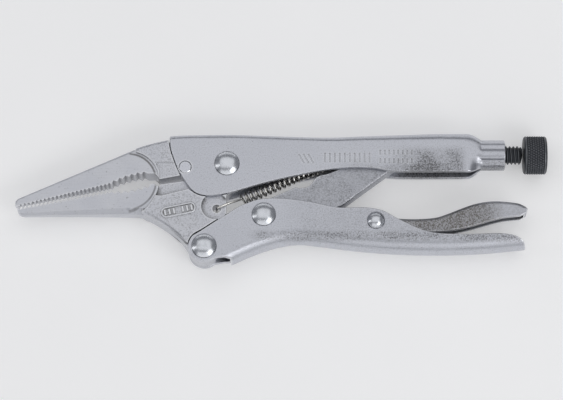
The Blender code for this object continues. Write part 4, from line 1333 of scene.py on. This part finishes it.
TABLE_GLOW = 0.3
WORLD_COLOUR = (0.19, 0.195, 0.21, 1)
LAMPS = (("overhead", (0.0, 0.35, 1.35), (2.6, 1.9), 9.0),
         ("near_side", (0.0, -1.3, 0.85), (2.8, 1.25), 7.0),
         ("far_side", (0.0, 1.9, 0.26), (3.0, 0.3), 2.3),
         ("near_spot", (0.8, -0.65, 0.85), (0.65, 0.5), 2.9),
         ("left_strip", (-1.5, 0.0, 0.6), (0.3, 1.2), 1.6))


def table_top():
    """A flat square of painted board, six metres wide."""
    solid = bmesh.new()
    corners = [solid.verts.new((x, y, 0)) for x, y in ((-3, -3), (3, -3), (3, 3), (-3, 3))]
    solid.faces.new(corners)
    mesh = bpy.data.meshes.new("table")
    solid.to_mesh(mesh)
    solid.free()
    table = new_object("table", mesh)
    finish = Finish("table_paint", metallic=0.0, Emission_Strength=1.0)
    tone = finish.noise(60.0, 2.0)
    colour = finish.blend(tone, (0.72, 0.72, 0.725, 1), (0.76, 0.76, 0.76, 1))
    seen = finish.node("ShaderNodeLightPath", output="Is Camera Ray")
    mirrored = finish.node("ShaderNodeLightPath", output="Is Glossy Ray")
    glow = finish.blend(seen + mirrored, (0, 0, 0, 1), (TABLE_GLOW, TABLE_GLOW, TABLE_GLOW, 1))
    finish.tree.links.new(glow.socket, finish.shader.inputs["Emission Color"])
    mesh.materials.append(finish.wear(colour, 0.6 + tone * 0.1, tone, 0.02))


def soft_light(name, place, size, power):
    """A rectangular area lamp that is aimed at the tool."""
    lamp = bpy.data.lights.new(name, "AREA")
    lamp.shape = "RECTANGLE"
    lamp.size, lamp.size_y = size
    lamp.energy = power
    item = new_object(name, lamp)
    item.location = place
    item.rotation_euler = (Vector((0, 0, 0)) - Vector(place)).to_track_quat("-Z", "Y").to_euler()


def camera(distance=1.2, elevation=75.0, width_seen=0.239):
    """A long lens, so that the tool is seen nearly without perspective."""
    lens = bpy.data.cameras.new("camera")
    lens.sensor_width = 36.0
    lens.lens = lens.sensor_width * distance / width_seen
    item = new_object("camera", lens)
    aim = Vector((0, 0, RIVET_PLACE.z))
    tilt = math.radians(elevation)
    item.location = aim + Vector((0, -math.cos(tilt), math.sin(tilt))) * distance
    item.rotation_euler = (aim - item.location).to_track_quat("-Z", "Y").to_euler()
    bpy.context.scene.camera = item


table_top()
for lamp_name, lamp_place, lamp_size, lamp_power in LAMPS:
    soft_light(lamp_name, lamp_place, lamp_size, lamp_power)
world = bpy.data.worlds.new("studio")
world.use_nodes = True
world.node_tree.nodes["Background"].inputs["Color"].default_value = WORLD_COLOUR
world.node_tree.nodes["Background"].inputs["Strength"].default_value = 1.0
bpy.context.scene.world = world
bpy.context.scene.view_settings.view_transform = "Standard"
camera()
